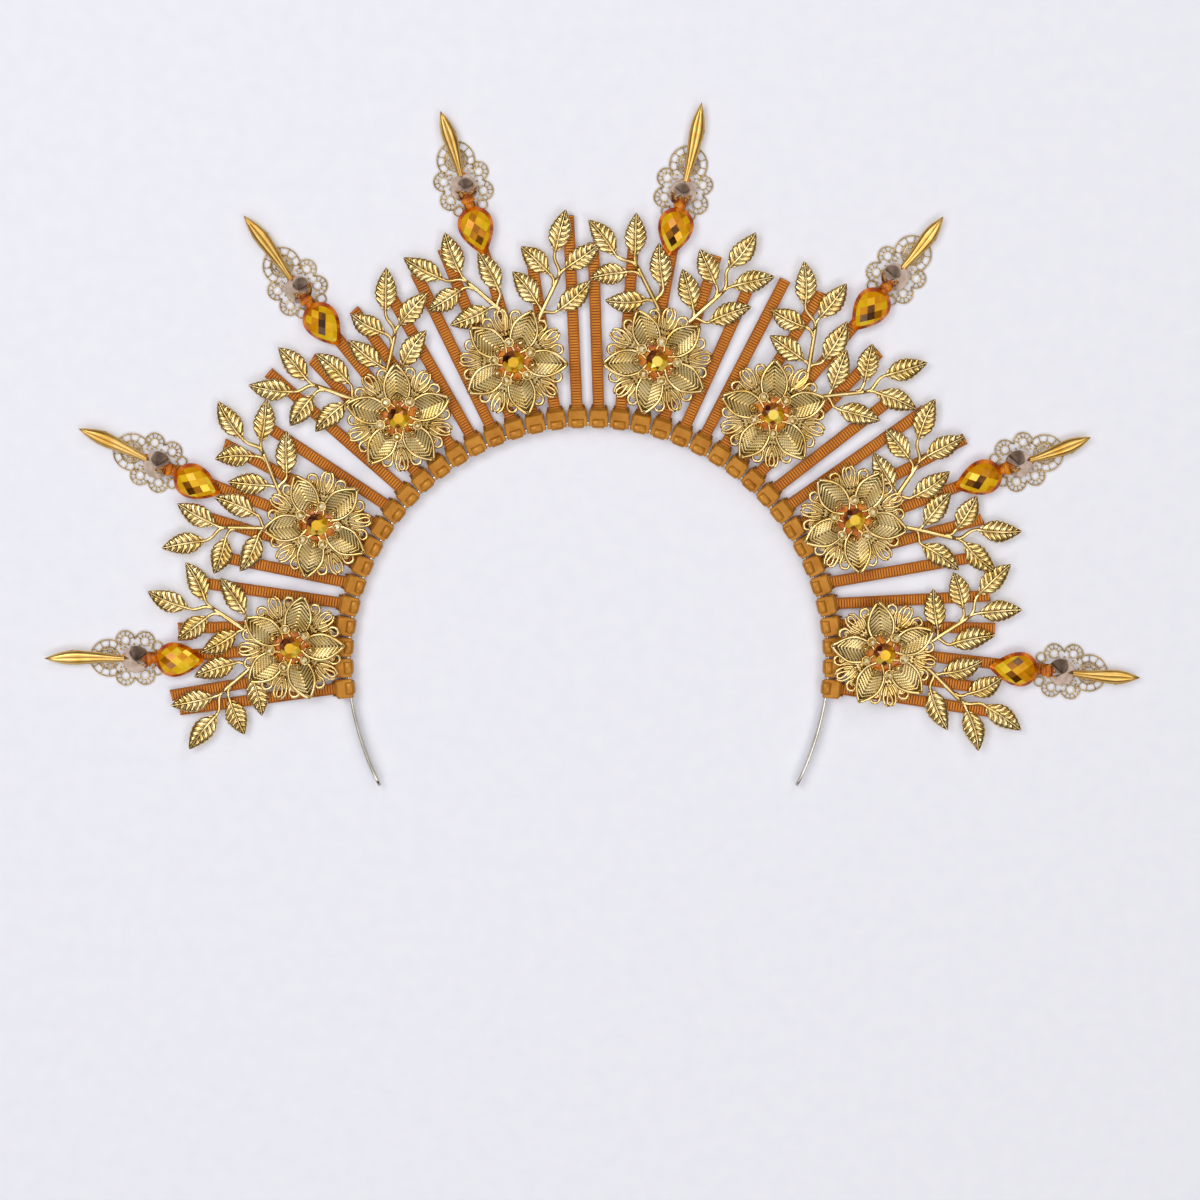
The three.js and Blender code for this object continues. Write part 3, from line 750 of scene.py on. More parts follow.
def petal():
    """One petal pointing up y: a folded cup with ribs that meet in arrowheads pointing to its tip. It carries
    a painted dark reflection towards its root and on its left half, and painted shade between its ribs."""
    length = PETAL["tip"] - PETAL["root"]
    steps = round(length / PETAL_RIB["pitch"] * PETAL_RIB["samples"])
    rows, tones = [], []
    for i in range(steps + 1):
        share = i / steps
        half = max(petal_half_width(share), 0.04)
        row, tone = [], []
        for side in np.linspace(-1, 1, 17):
            y = PETAL["root"] + share * length
            phase = (share * length + abs(side) * half * PETAL_RIB["lean"]) / PETAL_RIB["pitch"]
            wave = math.cos(2 * math.pi * phase)
            fade = min(1.0, 8 * (1 - abs(side)))
            row.append((side * half, y, petal_height(share, side) + PETAL_RIB["height"] * wave * fade))
            # Painted dark reflection towards the root and on the left half; the grooves get painted shade.
            dark_reflection = 0.3 * max(0, 1 - share / 0.6) + (0.1 if side < 0 else 0)
            tone.append(PLAIN - dark_reflection if wave > PETAL_RIB["crest"] else PETAL_RIB["groove"])
        rows.append(row)
        tones.append(tone)
    return sheet(rows, PETAL["wall"], tones)


def petal_rim():
    """The rolled rim round a petal."""
    shares = np.linspace(0.02, 0.995, 26)
    length = PETAL["tip"] - PETAL["root"]
    right = [(petal_half_width(s), PETAL["root"] + s * length, petal_height(s, 1) + 0.1) for s in shares]
    left = [(-x, y, z) for x, y, z in right[::-1]]
    tip = [(0, PETAL["tip"] + 0.1, petal_height(1.0, 0) + 0.1)]
    return (right + tip + left, False, PETAL_RIM)


def spiral(centre, start, end, radius_from, radius_to, height, count=22):
    """Points on a spiral about a centre, between two angles anticlockwise from x in degrees."""
    points = []
    for share in np.linspace(0, 1, count):
        turn = math.radians(start + (end - start) * share)
        radius = radius_from + (radius_to - radius_from) * share ** 0.8
        points += circle(centre, radius, [turn], height + 0.25 * share)
    return points


def lobe_wires():
    """The raised scrollwork of one lobe, its crest up y: a teardrop loop in a lyre, with a scroll, a curl
    and three short strands on each side."""
    top = BACKING["back"] + BACKING["thickness"]
    teardrop = []
    for t in full_turn(26):
        wide = 0.55 + 0.45 * math.cos(t)
        teardrop.append((1.45 * math.sin(t) * wide, 16.6 + 2.7 * math.cos(t), 0.5))
    scroll = SCROLL_ROOT + spiral((5.6, 15.9), 195, -150, 2.3, 1.0, 0.4, 26)
    widening = np.linspace(SCROLL_WIRE["start"], SCROLL_WIRE["full"], SCROLL_WIRE["full_at"])
    narrowing = np.linspace(SCROLL_WIRE["full"], SCROLL_WIRE["end"], len(scroll) - len(widening))
    curl = spiral((4.9, 11.6), -60, 260, 1.15, 0.35, 0.4, 14)
    strands = LOBE_WIRES + [
        (scroll, np.concatenate([widening, narrowing])),
        (curl, np.linspace(0.4, 0.3, len(curl))),
    ]
    paths = [([(x, y, top + z) for x, y, z in teardrop], True, 0.46)]
    for side in (-1, 1):
        paths += [([(side * x, y, top + z) for x, y, z in strand], False, radii) for strand, radii in strands]
    return paths


def lobe_grains():
    """The grains and curl eyes on one lobe."""
    top = BACKING["back"] + BACKING["thickness"]
    spots = [(0, y, top + height, radius) for y, height, radius in CREST_GRAINS]
    return spots + [(side * x, y, top + 0.35, radius) for side in (-1, 1) for x, y, radius in LOBE_GRAINS]


def backing_plate():
    """The small pierced sheet that the scrollwork stands on, darkened with painted shade where it shows
    between the wires.
    """
    edge = PLATE_EDGE + [(-turn, reach) for turn, reach in PLATE_EDGE[-2:0:-1]]
    eyes = [(side * turn, *size) for turn, *size in PLATE_EYES for side in (-1, 1)]
    outline, holes = [], []
    for lobe in range(LOBES):
        middle = 360 / LOBES * lobe
        outline += [tuple(polar(middle + turn, reach)) for turn, reach in edge]
        for turn, reach, wide, tall in eyes:
            eye = polar(middle + turn, reach)
            tilted = Matrix.Rotation(-math.radians(middle + turn), 4, "Z")
            hole = [Vector((wide * math.cos(t), tall * math.sin(t), 0)) for t in full_turn(12)]
            holes.append([tuple(eye + tilted @ point) for point in hole])
    # The whole plate gets painted shade.
    return pierced_plate(outline[::-1], holes, BACKING["back"], BACKING["thickness"]).toned(0.3)


def flower_metal():
    """The whole stamped flower about its own centre, its petals between its lobes."""
    lobe = drawn(lobe_wires()) + grains(lobe_grains())
    rimmed_petal = petal() + drawn([petal_rim()])
    parts = [backing_plate()]
    for part, first in ((lobe, 0.0), (rimmed_petal, 0.5)):
        for number in range(LOBES):
            turn = 2 * math.pi * (number + first) / LOBES
            parts.append(part.placed(Matrix.Rotation(-turn, 4, "Z")))
    return joined(parts)


def flower_place(angle, reach, turn, tilt):
    """From a flower's own centre to its place on the crown."""
    outer = BACKING["outer"]
    return (
        to_row(angle)
        @ Matrix.Translation((0, outer + reach, BACKING["back"]))
        @ Matrix.Rotation(-math.radians(tilt), 4, "X")
        @ Matrix.Translation((0, -outer, -BACKING["back"]))
        @ Matrix.Rotation(-math.radians(turn), 4, "Z")
    )


flower = flower_metal()
for number, row in enumerate(FLOWERS, 1):
    placed = flower.placed(flower_place(*row))
    make_piece(f"flower_{number}", placed, [flower_gold], [f"flower_spray_{number}"])

# Flower centres ----------------------------------------------------------------------------
# A cut acrylic stone sits on a pool of amber hot glue that has run on to the petals, in a ring of
# small clear stones and gilt beads pressed into the glue before it set.

CENTRE_STONE = {
    "sides": 8, "table": 2.0, "crown": 3.3, "girdle": 4.3, "girdle_height": 2.1, "height": 3.7,
    "back": 3.44, "back_height": 0.6,
}
POOL = {"radius": 7.2, "seat": 0.9, "rise": 0.75, "sides": 72}
POOL_WAVES = [(5, 0.12), (7, 0.09), (11, 0.06), (17, 0.04)]  # fingers round the pool, how far they run out
POOL_PROFILE = [(0.35, 1), (0.55, 0.96), (0.72, 0.86), (0.86, 0.68), (0.95, 0.42), (1, 0.16), (0.97, -0.25)]
CRUMBS = 16  # loose gilt grains in each pool
MIRRORED_TONES = [  # bearing clockwise from the crown's top in degrees, tone of the painted reflection that a facet facing it gets
    (0, 0.3), (60, 0.6), (95, 0.7), (125, 0.92), (160, 0.86), (182, 0.12), (205, 0.9), (240, 0.8), (275, 0.2),
    (310, 0.08), (340, 0.16), (360, 0.3),
]
BEADS = [  # angle in degrees; reach, radius and height above the petals' seat in mm; 1 clear, 0 gilt
    (0, 7.2, 1.7, 2.6, 1), (37, 7.4, 1.5, 2.6, 0), (74, 7.3, 1.75, 2.7, 1), (112, 7.2, 1.5, 2.6, 0),
    (148, 7.2, 1.65, 2.6, 1), (183, 7.5, 1.5, 2.7, 0), (218, 7.2, 1.7, 2.6, 1), (252, 7.4, 1.45, 2.6, 0),
    (288, 7.3, 1.7, 2.6, 1), (324, 7.4, 1.5, 2.6, 0),
]


def amber(name, stops, rough, coat=0.3, metallic=0.35, specular=0.35):
    """Cast acrylic with a foiled back, under a hard polished surface: each facet's tint gives it a painted
    reflection, from clear yellow to a deep brown."""
    material, tree, shader = new_material(
        name, Roughness=rough, Metallic=metallic, IOR=1.49, Specular_IOR_Level=specular, Coat_Weight=coat,
        Coat_Roughness=0.03, Coat_IOR=1.49,
    )
    tint = add_node(tree, "ShaderNodeAttribute", attribute_name="tint").outputs["Fac"]
    cloud = ranged(tree, object_noise(tree, 420.0, 3.0), -0.14, 0.14)
    tone = add_node(tree, "ShaderNodeMath", {0: cloud, 1: tint}, operation="ADD")
    feed(tree, shader, Base_Color=ramp(tree, tone.outputs[0], *stops))
    return material


amber_stone = amber(
    "Foiled amber acrylic, cut and polished",
    (
        (0.0, "#2A1006"), (0.14, "#6A3420"), (0.3, "#9A5A2C"), (0.5, "#C8800F"), (0.75, "#F0BE1E"),
        (1.0, "#FBE46A"),
    ),
    0.08,
)
clear_stone = amber(
    "Clear topaz acrylic chips",
    ((0.0, "#7A5208"), (0.3, "#B48A30"), (0.55, "#DCC078"), (0.8, "#F2E2B0"), (1.0, "#FFFBEA")),
    0.06, metallic=0.1,
)
# Hot melt glue over gold: glossy, swirled with darker amber, its skin rippled at about 1.5 mm.
glue, tree, shader = new_material("Amber hot melt glue", Roughness=0.16, IOR=1.49, Specular_IOR_Level=0.4)
swirl = object_noise(tree, 260.0, 5.0)
feed(
    tree,
    shader,
    Base_Color=ramp(tree, swirl, (0.3, "#9A4400"), (0.5, "#C86A00"), (0.72, "#E89A08")),
    Normal=bumped(tree, object_noise(tree, 700.0, 2.0), 0.5, 0.0003),
)


def round_stone(seed, spin):
    """A round cut stone at the origin: a table, a crown of kites and triangles, a girdle and a flat back.
    Turned by spin degrees, clockwise, on the crown, which settles what each facet mirrors."""
    chance = random.Random(seed)
    at, sides = CENTRE_STONE, CENTRE_STONE["sides"]
    crown_height = 0.58 * at["height"] + 0.42 * at["girdle_height"]
    corners = []
    for radius, height, offset in (
        (at["table"], at["height"], 0.0),
        (at["crown"], crown_height, 0.5),
        (at["girdle"], at["girdle_height"], 0.0),
        (at["girdle"], at["girdle_height"] - 0.5, 0.0),
        (at["back"], at["back_height"], 0.0),
    ):
        corners += circle((0, 0), radius, full_turn(sides) + offset * 2 * math.pi / sides, height)

    def mirrored(index, spread):
        bearing = (90 - 360 * index / sides + spin) % 360
        return min(max(between(MIRRORED_TONES, bearing) + chance.uniform(-spread, spread), 0.0), 1.0)

    faces, tints = [tuple(range(sides))], [chance.choice((0.7, 0.8, 0.9))]
    for i in range(sides):
        j = (i + 1) % sides
        (t0, c0, g0), (t1, c1, g1) = [[ring * sides + k for ring in range(3)] for k in (i, j)]
        faces += [(t0, c0, t1), (c0, g1, c1, t1), (c0, g0, g1)]
        tints += [mirrored(i + 0.5, 0.2), mirrored(i + 1, 0.1), mirrored(i + 0.5, 0.25)]
        for low in (2, 3):
            a, b = sides * low + i, sides * low + j
            faces.append((a, a + sides, b + sides, b))
            tints.append(0.35)
    faces.append(tuple(4 * sides + i for i in range(sides))[::-1])
    tints.append(0.3)
    return Surface(corners, faces, False, tints)


def glue_pool(seed):
    """A domed pool with uneven fingers that run out between and over the petals' roots."""
    chance = random.Random(seed)
    waves = [(count, chance.uniform(0, 2 * math.pi), size) for count, size in POOL_WAVES]
    rings = []
    for share, lift in POOL_PROFILE[::-1]:
        ring = []
        for turn in full_turn(POOL["sides"]):
            wave = sum(size * math.sin(count * turn + phase) for count, phase, size in waves)
            radius = POOL["radius"] * share * (1 + wave * share ** 2)
            z = PETAL_SEAT + POOL["seat"] + POOL["rise"] * lift + 0.35 * wave
            ring += circle((0, 0), radius, [turn], z)
        rings.append(ring)
    return loft(rings)


def bead(radius, low, high, eye, chance):
    """A small faceted ball, its facets given painted reflections toned at random from low to high and the one
    on top toned as its eye.
    """
    rings = []
    for index, level in enumerate(np.radians((-75, -38, 0, 38, 68))):
        turns = full_turn(8) + math.pi / 8 * (index % 2)
        rings.append(circle((0, 0), radius * math.cos(level), turns, radius * math.sin(level)))
    made = loft(rings, False)
    made.tints = [chance.uniform(low, high) for _ in made.faces]
    made.tints[CAPS - 1] = eye
    return made


for number, row in enumerate(FLOWERS, 1):
    chance = random.Random(100 + number)
    place = flower_place(*row)
    turn_on_glue = chance.uniform(0, 0.8)
    spin = row[0] + row[2] - math.degrees(turn_on_glue)
    stone = round_stone(number, spin).placed(
        Matrix.Translation((0, 0, PETAL_SEAT)) @ Matrix.Rotation(turn_on_glue, 4, "Z")
    )
    clear, gilt = [], []
    for angle, reach, radius, height, kind in BEADS:
        spot = polar(angle + chance.uniform(-6, 6), reach + chance.uniform(-0.3, 0.3))
        radius *= chance.uniform(0.92, 1.06)
        seat = Matrix.Translation(spot + Vector((0, 0, PETAL_SEAT + height)))
        seat @= Matrix.Rotation(chance.uniform(-0.35, 0.35), 4, "X")
        seat @= Matrix.Rotation(chance.uniform(0, 3), 4, "Z")
        if kind:
            clear.append(bead(0.9 * radius, 0.1, 0.9, 0.8, chance).placed(seat))
            cup = circle((0, 0), 0.98 * radius, full_turn(14), 0.1)
            gilt.append(drawn([(cup, True, 0.3)], 5).placed(seat))
        else:
            gilt.append(grains([(0, 0, 0, radius)], 8).placed(seat))
            eye = seat @ Matrix.Translation((0, 0, 0.68 * radius))
            clear.append(bead(0.5 * radius, 0.0, 0.4, 0.1, chance).placed(eye))
    for _ in range(CRUMBS):
        spot = polar(chance.uniform(0, 360), chance.uniform(4.9, 8.4))
        crumb = (spot.x, spot.y, PETAL_SEAT + chance.uniform(1.7, 2.2), chance.uniform(0.35, 0.7))
        gilt.append(grains([crumb]))
    make_piece(f"flower_stone_{number}", stone.placed(place), [amber_stone])
    make_piece(f"flower_chips_{number}", joined(clear).placed(place), [clear_stone])
    make_piece(f"flower_beads_{number}", joined(gilt).placed(place), [flower_gold])
    make_piece(f"flower_glue_{number}", glue_pool(number).placed(place), [glue])

# Leaf sprays -------------------------------------------------------------------------------
# Two stamped brass sprays stand out from behind each flower, soldered to its backing: a stalk that
# forks into five leaves, each with a toothed edge, puffed lobes between its veins and a raised midrib.

SPRAYS = [  # flower, angle and reach of the first fork, and the stalk's turn from straight out
    (1, -90.7, 124.0, -41), (1, -84.9, 126.7, 28),
    (2, -67.2, 128.5, -23), (2, -60.8, 130.7, 38),
    (3, -41.3, 129.5, -30), (3, -34.9, 129.6, 46),
    (4, -14.0, 134.8, -37), (4, -7.7, 129.8, 32),
    (5, 10.7, 134.9, -39), (5, 16.7, 132.4, 30),
    (6, 36.7, 135.6, -29), (6, 41.4, 131.5, 41),
    (7, 61.8, 128.5, -30), (7, 67.7, 130.2, 34),
    (8, 86.3, 128.5, -31), (8, 91.8, 127.6, 42),
]
STALK_END = (15.3, -0.3)
LEAVES = [  # x along the stalk and y to its left, in mm: where the stem leaves it, leaf base, leaf tip
    ((0, 0), (3.6, 3.4), (10.2, 15.9)),
    ((0, 0), (5.2, -5.6), (19.2, -11.5)),
    ((11.5, 0.2), (15.6, 4.6), (19.8, 16.8)),
    (STALK_END, (24.2, 4.8), (38.9, 7.3)),
    (STALK_END, (20.2, -1.9), (32.9, -9.3)),
]
LEAF_OUTLINE = [  # share along the midrib, half width in mm
    (0, 0.6), (0.04, 1.9), (0.1, 3.1), (0.18, 3.9), (0.28, 4.2), (0.42, 3.95), (0.56, 3.3), (0.7, 2.45),
    (0.82, 1.55), (0.92, 0.8), (1, 0.05),
]
LEAF = {
    "teeth": 7, "samples": 8, "notch": 0.12, "puff": 0.75, "crown": 0.75, "wall": 0.4, "slant": 0.6,
    "overlap": 1.4, "vein": 0.75, "shade": 0.06,
}
FRONT_OF_TIES = STRAP["back"] + STRAP["thickness"] + 0.3  # where what lies on the ties starts
STALK = 0.9  # radius in mm


def leaf_blade(length, bend, lift):
    """A leaf along x from its base at the origin, bent sideways and lifted at its tip, and its midrib's line.
    Its creases and the foot of the midrib are darkened with painted shade."""
    steps = LEAF["teeth"] * LEAF["samples"]
    rows, tones, rib = [], [], []
    for i in range(steps + 1):
        share = i / steps
        x = share * length
        middle = bend * 4 * share * (1 - share)
        arc = max(math.sin(math.pi * share ** 0.8), 0.0)
        tooth = (i + 0.5 * LEAF["samples"]) % LEAF["samples"] / LEAF["samples"]
        swell = math.sin(math.pi * tooth) ** 0.45
        width = between(LEAF_OUTLINE, share)
        half = width * (1 - LEAF["notch"] + LEAF["notch"] * swell)
        rise = FRONT_OF_TIES + LEAF["wall"] + 0.3 + lift * share ** 2
        row, tone = [], []
        for side in np.linspace(-1, 1, 17):
            away = abs(side)
            pillow = swell * math.sin(math.pi * min(0.08 + 0.8 * away, 1.0)) ** 0.7
            z = rise + LEAF["crown"] * arc * (1 - 0.9 * away ** 1.6) + LEAF["puff"] * pillow * arc ** 0.5
            row.append((x + LEAF["slant"] * width * away ** 1.25, middle + side * half, z))
            # Painted shade in the creases and at the foot of the midrib.
            tone.append(LEAF["shade"] if swell < 0.5 or away * width < LEAF["vein"] else PLAIN)
        rows.append(row)
        tones.append(tone)
        rib.append((x, middle, rise + LEAF["crown"] * arc + 0.35 * arc + 0.1))
    return sheet(rows, LEAF["wall"], tones), rib


def curve(start, start_way, end, end_way, count):
    """Points on a cubic curve that leaves start and reaches end along the given directions."""
    p0, p3 = Vector(start), Vector(end)
    pull = 0.42 * (p3 - p0).length
    p1, p2 = p0 + pull * Vector(start_way).normalized(), p3 - pull * Vector(end_way).normalized()
    return [
        p0 * (1 - t) ** 3 + p1 * 3 * t * (1 - t) ** 2 + p2 * 3 * t * t * (1 - t) + p3 * t ** 3
        for t in np.linspace(0, 1, count)
    ]


def leaf_spray(seed, root):
    """A spray, x along its stalk from the first fork; root is the point under the flower it starts from."""
    chance = random.Random(seed)
    z = FRONT_OF_TIES + STALK
    lines, blades = [], []
    stalk = curve((root.x, root.y, z), (-root.x, -root.y, 0), (0, 0, z), (1, 0, 0), 10)
    stalk += curve((0, 0, z), (1, 0, 0), (*STALK_END, z), (1, 0, 0), 12)[1:]
    lines.append((stalk, False, list(np.linspace(STALK + 0.1, STALK - 0.05, len(stalk)))))
    for stem, base, tip in LEAVES:
        stem, base, tip = Vector(stem), Vector(base), Vector(tip)
        way = (tip - base).normalized()
        base = base - way * LEAF["overlap"]
        length, turn = (tip - base).length, math.atan2(way.y, way.x)
        lift, bend = chance.uniform(0.2, 1.3), chance.uniform(-0.9, 0.9)
        top = FRONT_OF_TIES + LEAF["wall"] + 0.4
        blade, rib = leaf_blade(length, bend, lift)
        lean = Matrix.Translation((base.x, base.y, 0)) @ Matrix.Rotation(turn, 4, "Z")
        blades.append(blade.placed(lean))
        stem_line = curve((stem.x, stem.y, z), (1, 0, 0), (base.x, base.y, top), (way.x, way.y, 0), 10)
        rib_line = [lean @ Vector(p) for p in rib[1:]]
        radii = list(np.linspace(0.78, 0.64, len(stem_line))) + list(np.linspace(0.6, 0.16, len(rib_line)))
        lines.append((stem_line + rib_line, False, radii))
    return joined(blades) + drawn(lines)


for number, (angle, reach, _, _) in enumerate(FLOWERS, 1):
    sprays = []
    for index, (owner, fork_angle, fork_reach, turn) in enumerate(SPRAYS):
        if owner != number:
            continue
        fork = polar(fork_angle - angle, fork_reach)
        heading = fork_angle - angle + turn
        place = Matrix.Translation(fork) @ Matrix.Rotation(math.radians(90 - heading), 4, "Z")
        root = place.inverted() @ Vector((0, reach, 0)).lerp(fork, 0.45)
        sprays.append(leaf_spray(index, root).placed(to_row(angle) @ place))
    make_piece(f"leaf_sprays_{number}", joined(sprays), [flower_gold])

# Finials -----------------------------------------------------------------------------------
# Eight of the ties end in a finial: a filigree plate of fine gilt wire behind the strap, and before it
# a blade stamped from gilt brass, a mirror cone stud and a pear stone, all held with amber glue.

FINIALS = [  # angle in degrees; reach in mm of the pear's middle, stud and blade's tip; lean in degrees
    (-89.7, 151.1, 167.4, 201.5, 0),
    (-65.2, 158.4, 174.8, 206.5, 0),
    (-37.6, 157.9, 173.9, 207.4, 1.5),
    (-14.5, 164.4, 180.6, 209.8, -2.5),
    (11.3, 162.1, 176.4, 210.1, 0.5),
    (38.3, 166.0, 181.4, 209.6, 0),
    (65.1, 158.9, 174.9, 203.1, 4.5),
    (91.3, 157.7, 175.4, 204.8, 3),
]
GLUE_LUMPS = [  # x, y and height above the ties; half width, half length, half depth; seed of its outline
    (0, -4.9, 1.3, 2.4, 1.35, 1.3, 0),
    (0.2, -6.6, 1.9, 1.6, 1.35, 1.2, 20),
    (0.3, 4.6, 0, 1.7, 1.3, 0.9, 50),
]
PLATE = {"back": 0.5, "thickness": 0.8, "wire": 0.26, "grain": 0.27, "grain_pitch": 0.58, "hub": 3.9}
PLATE_RINGS = [  # x, y, radius and inner radius in mm; the arc that shows, in degrees; spokes
    (0, 10.5, 6.8, 4.1, -45, 225, 9),
    (0, 10.5, 4.1, 2.2, -40, 220, 7),
    (-6.7, 4.3, 3.45, 1.6, 60, 262, 6),
    (-6.3, -2.9, 3.55, 1.6, 110, 300, 6),
    (6.3, -2.9, 3.55, 1.6, -120, 70, 6),
    (6.7, 4.3, 3.45, 1.6, -82, 120, 6),
    (-4.6, -7.6, 1.7, 0, 0, 360, 0),
    (4.6, -7.6, 1.7, 0, 0, 360, 0),
    (0, -8.4, 2.2, 0, 0, 360, 0),
]
PLATE_GRAINS = [  # x to either side, y and radius in mm
    (5.3, 1.0, 0.45), (5.0, 2.9, 0.4), (4.1, 4.4, 0.5), (3.4, 6.0, 0.45), (2.6, 7.6, 0.4), (4.4, 6.2, 0.35),
    (5.0, -0.9, 0.4), (4.9, -4.4, 0.4), (3.7, -5.6, 0.45), (2.6, -6.6, 0.4), (2.2, 9.2, 0.35),
    (3.2, 4.9, 0.35),
]
BLADE = {"root": 2.0, "ridge": 1.3, "groove": 0.5, "bead": 0.2, "bead_pitch": 0.7, "bow": 0.5, "steps": 40}
BLADE_OUTLINE = [  # share of its length, half width in mm
    (0.0, 0.9), (0.12, 1.2), (0.3, 1.75), (0.5, 2.4), (0.62, 2.7), (0.72, 2.6), (0.82, 2.05), (0.92, 1.1),
    (0.985, 0.25), (1.0, 0.04),
]
STUD = {"radius": 5.05, "rim": 0.6, "height": 5.3, "sides": 64}
PEAR = {"radius": 6.5, "centre": 2.5, "tip": -9.0, "girdle": 1.4, "height": 5.2, "crown": 0.82, "foot": 0.92}
PEAR_FACET = {"wide": 3.3, "long": 4.3, "slope": 0.42, "middle": 1.0, "rows": 4}
DARK_FACETS = [  # for each pear, facets (counted along the two slanting rows) that mirror a dark part: tone
    {(0, -1): 0.3, (1, -1): 0.34, (1, 0): 0.42},
    {(-1, -1): 0.14, (0, -1): 0.26, (-1, 0): 0.36, (2, -1): 0.44},
    {(1, 0): 0.2, (0, 0): 0.04, (-1, 0): 0.1, (0, -1): 0.5},
    {(0, 0): 0.36, (-1, 0): 0.42, (0, 1): 0.46, (1, -1): 0.4, (-1, 1): 0.2},
    {(0, 0): 0.16, (-1, 0): 0.3, (-1, 1): 0.06, (0, -1): 0.42},
    {(0, 0): 0.22, (0, 1): 0.06, (1, 1): 0.34, (-1, 0): 0.5, (-1, 1): 0.16},
    {(0, 0): 0.18, (0, 1): 0.08, (-1, 1): 0.24, (1, -1): 0.46},
    {(-1, -1): 0.16, (1, 1): 0.12, (-1, 0): 0.34, (0, 1): 0.24, (1, -1): 0.44},
]

gilt = plated_gold("Gilt stamped brass, satin", "#5A3C10", "#D09E48", "#EAC274", 0.3)
wire_gold = plated_gold("Fine gilt wire", "#4A3810", "#B89A60", "#DCC492", 0.24)


def filigree():
    """The plate about the stud: rings of milled wire with spokes between an outer and an inner one, small
    grains between them, two loops under the blade and a spoked hub under the stud."""
    z = PLATE["back"] + PLATE["thickness"] / 2
    wire, hub = PLATE["wire"], PLATE["hub"]
    paths, beads = [], []
    for x, y, radius, inner, start, end, spokes in PLATE_RINGS:
        closed = end - start == 360
        turns = np.linspace(start, end, max(12, round((end - start) / 12)), endpoint=not closed)
        paths.append((circle((x, y), radius, np.radians(turns), z), closed, wire * 1.15))
        if inner:
            paths.append((circle((x, y), inner, full_turn(24), z), True, wire * 0.9))
        for t in np.radians(np.linspace(start + 12, end - 12, spokes)):
            paths.append(([circle((x, y), r, [t], z)[0] for r in (inner, radius)], False, wire * 0.8))
        milled = round(math.radians(end - start) * radius / PLATE["grain_pitch"])
        turns = np.linspace(start, end, milled, endpoint=not closed)
        beads += [(*point, PLATE["grain"]) for point in circle((x, y), radius, np.radians(turns), z + 0.12)]
    for side in (-1, 1):
        loop = [
            (side * (1.9 + 1.3 * math.sin(t)), 10.6 + 2.6 * math.cos(t) + 0.5 * math.sin(t), z)
            for t in full_turn(18)
        ]
        paths.append((loop, True, wire * 0.9))
    paths.append((circle((0, 0), hub, full_turn(32), z), True, wire))
    for t in full_turn(12):
        paths.append(([circle((0, 0), r, [t], z)[0] for r in (0.5, hub)], False, wire * 0.9))
    between_rings = [(side * x, y, z + 0.25, radius) for side in (-1, 1) for x, y, radius in PLATE_GRAINS]
    return drawn(paths, 5) + grains(beads) + grains(between_rings).finished(1)


def blade(length):
    """A willow-leaf blade up y: two slopes and a beaded groove down its middle, with a flat back."""
    reach, ridge_height, groove_depth = length - BLADE["root"], BLADE["ridge"], BLADE["groove"]
    rings = []
    for share in np.linspace(0, 1, BLADE["steps"] + 1):
        half = between(BLADE_OUTLINE, share)
        barb = 0.4 * math.exp(-((share - 0.68) / 0.015) ** 2)
        ridge = ridge_height * min(1.0, half / 1.4) ** 0.7
        groove = groove_depth * min(1.0, half / 2.0)
        y = BLADE["root"] + share * reach
        bow = BLADE["bow"] * math.sin(math.pi * share)
        section = [
            (-half, 0.35), (-0.5 * half, 0.3 + 0.62 * ridge), (-0.12 * half, ridge), (0, ridge - groove),
            (0.1 * half, ridge), (0.5 * half, 0.3 + 0.55 * ridge), (half + barb, 0.35), (half, 0.1),
            (-half, 0.1),
        ]
        rings.append([(x + bow, y, FRONT_OF_TIES + z) for x, z in section])
    made = loft(rings)
    # The two faces on either side of the groove get painted shade.
    for step in range(BLADE["steps"]):
        for side_of_groove in (2, 3):
            made.tints[CAPS + len(section) * step + side_of_groove] = 0.2
    beads = []
    for share in np.arange(0.14, 0.9, BLADE["bead_pitch"] / reach):
        bow = BLADE["bow"] * math.sin(math.pi * share)
        height = FRONT_OF_TIES + ridge_height - groove_depth + 0.1
        beads.append((bow, BLADE["root"] + share * reach, height, BLADE["bead"]))
    return made + grains(beads)


def stud():
    """A round cone with a low rim and a blunt point, turned about z."""
    r, rim, h = STUD["radius"], STUD["rim"], STUD["height"]
    profile = [(r - 0.3, 0), (r, 0.2), (r, rim - 0.15), (r - 0.12, rim), (0.18, h - 0.1), (0.06, h)]
    return loft([circle((0, 0), radius, full_turn(STUD["sides"]), height) for radius, height in profile])


def pear_outline(scale):
    """The pear's outline anticlockwise as (x, y), shrunk about its middle: a round end up y and a point."""
    radius, centre, tip = PEAR["radius"], PEAR["centre"], PEAR["tip"]
    blunt, shoulder = 0.75, tip + 0.35
    flank = [(blunt, shoulder)]
    for share in np.linspace(0, 1, 9)[1:-1]:
        x = blunt + (radius - blunt) * math.sin(math.pi / 2 * share) ** 0.92
        flank.append((x, shoulder + (centre - shoulder) * share))
    round_end = [point[:2] for point in circle((0, centre), radius, np.linspace(0, math.pi, 19), 0)]
    outline = [(0.0, tip)] + flank + round_end + [(-x, y) for x, y in flank[::-1]]
    middle = PEAR_FACET["middle"]
    return [(scale * x, middle + scale * (y - middle)) for x, y in outline]


def pear_cell(x, y):
    """Which way along the two slanting rows of facets a point lies, counted in facets."""
    across, along = x / PEAR_FACET["wide"], (y - PEAR_FACET["middle"]) / PEAR_FACET["long"]
    return across + along, across - along


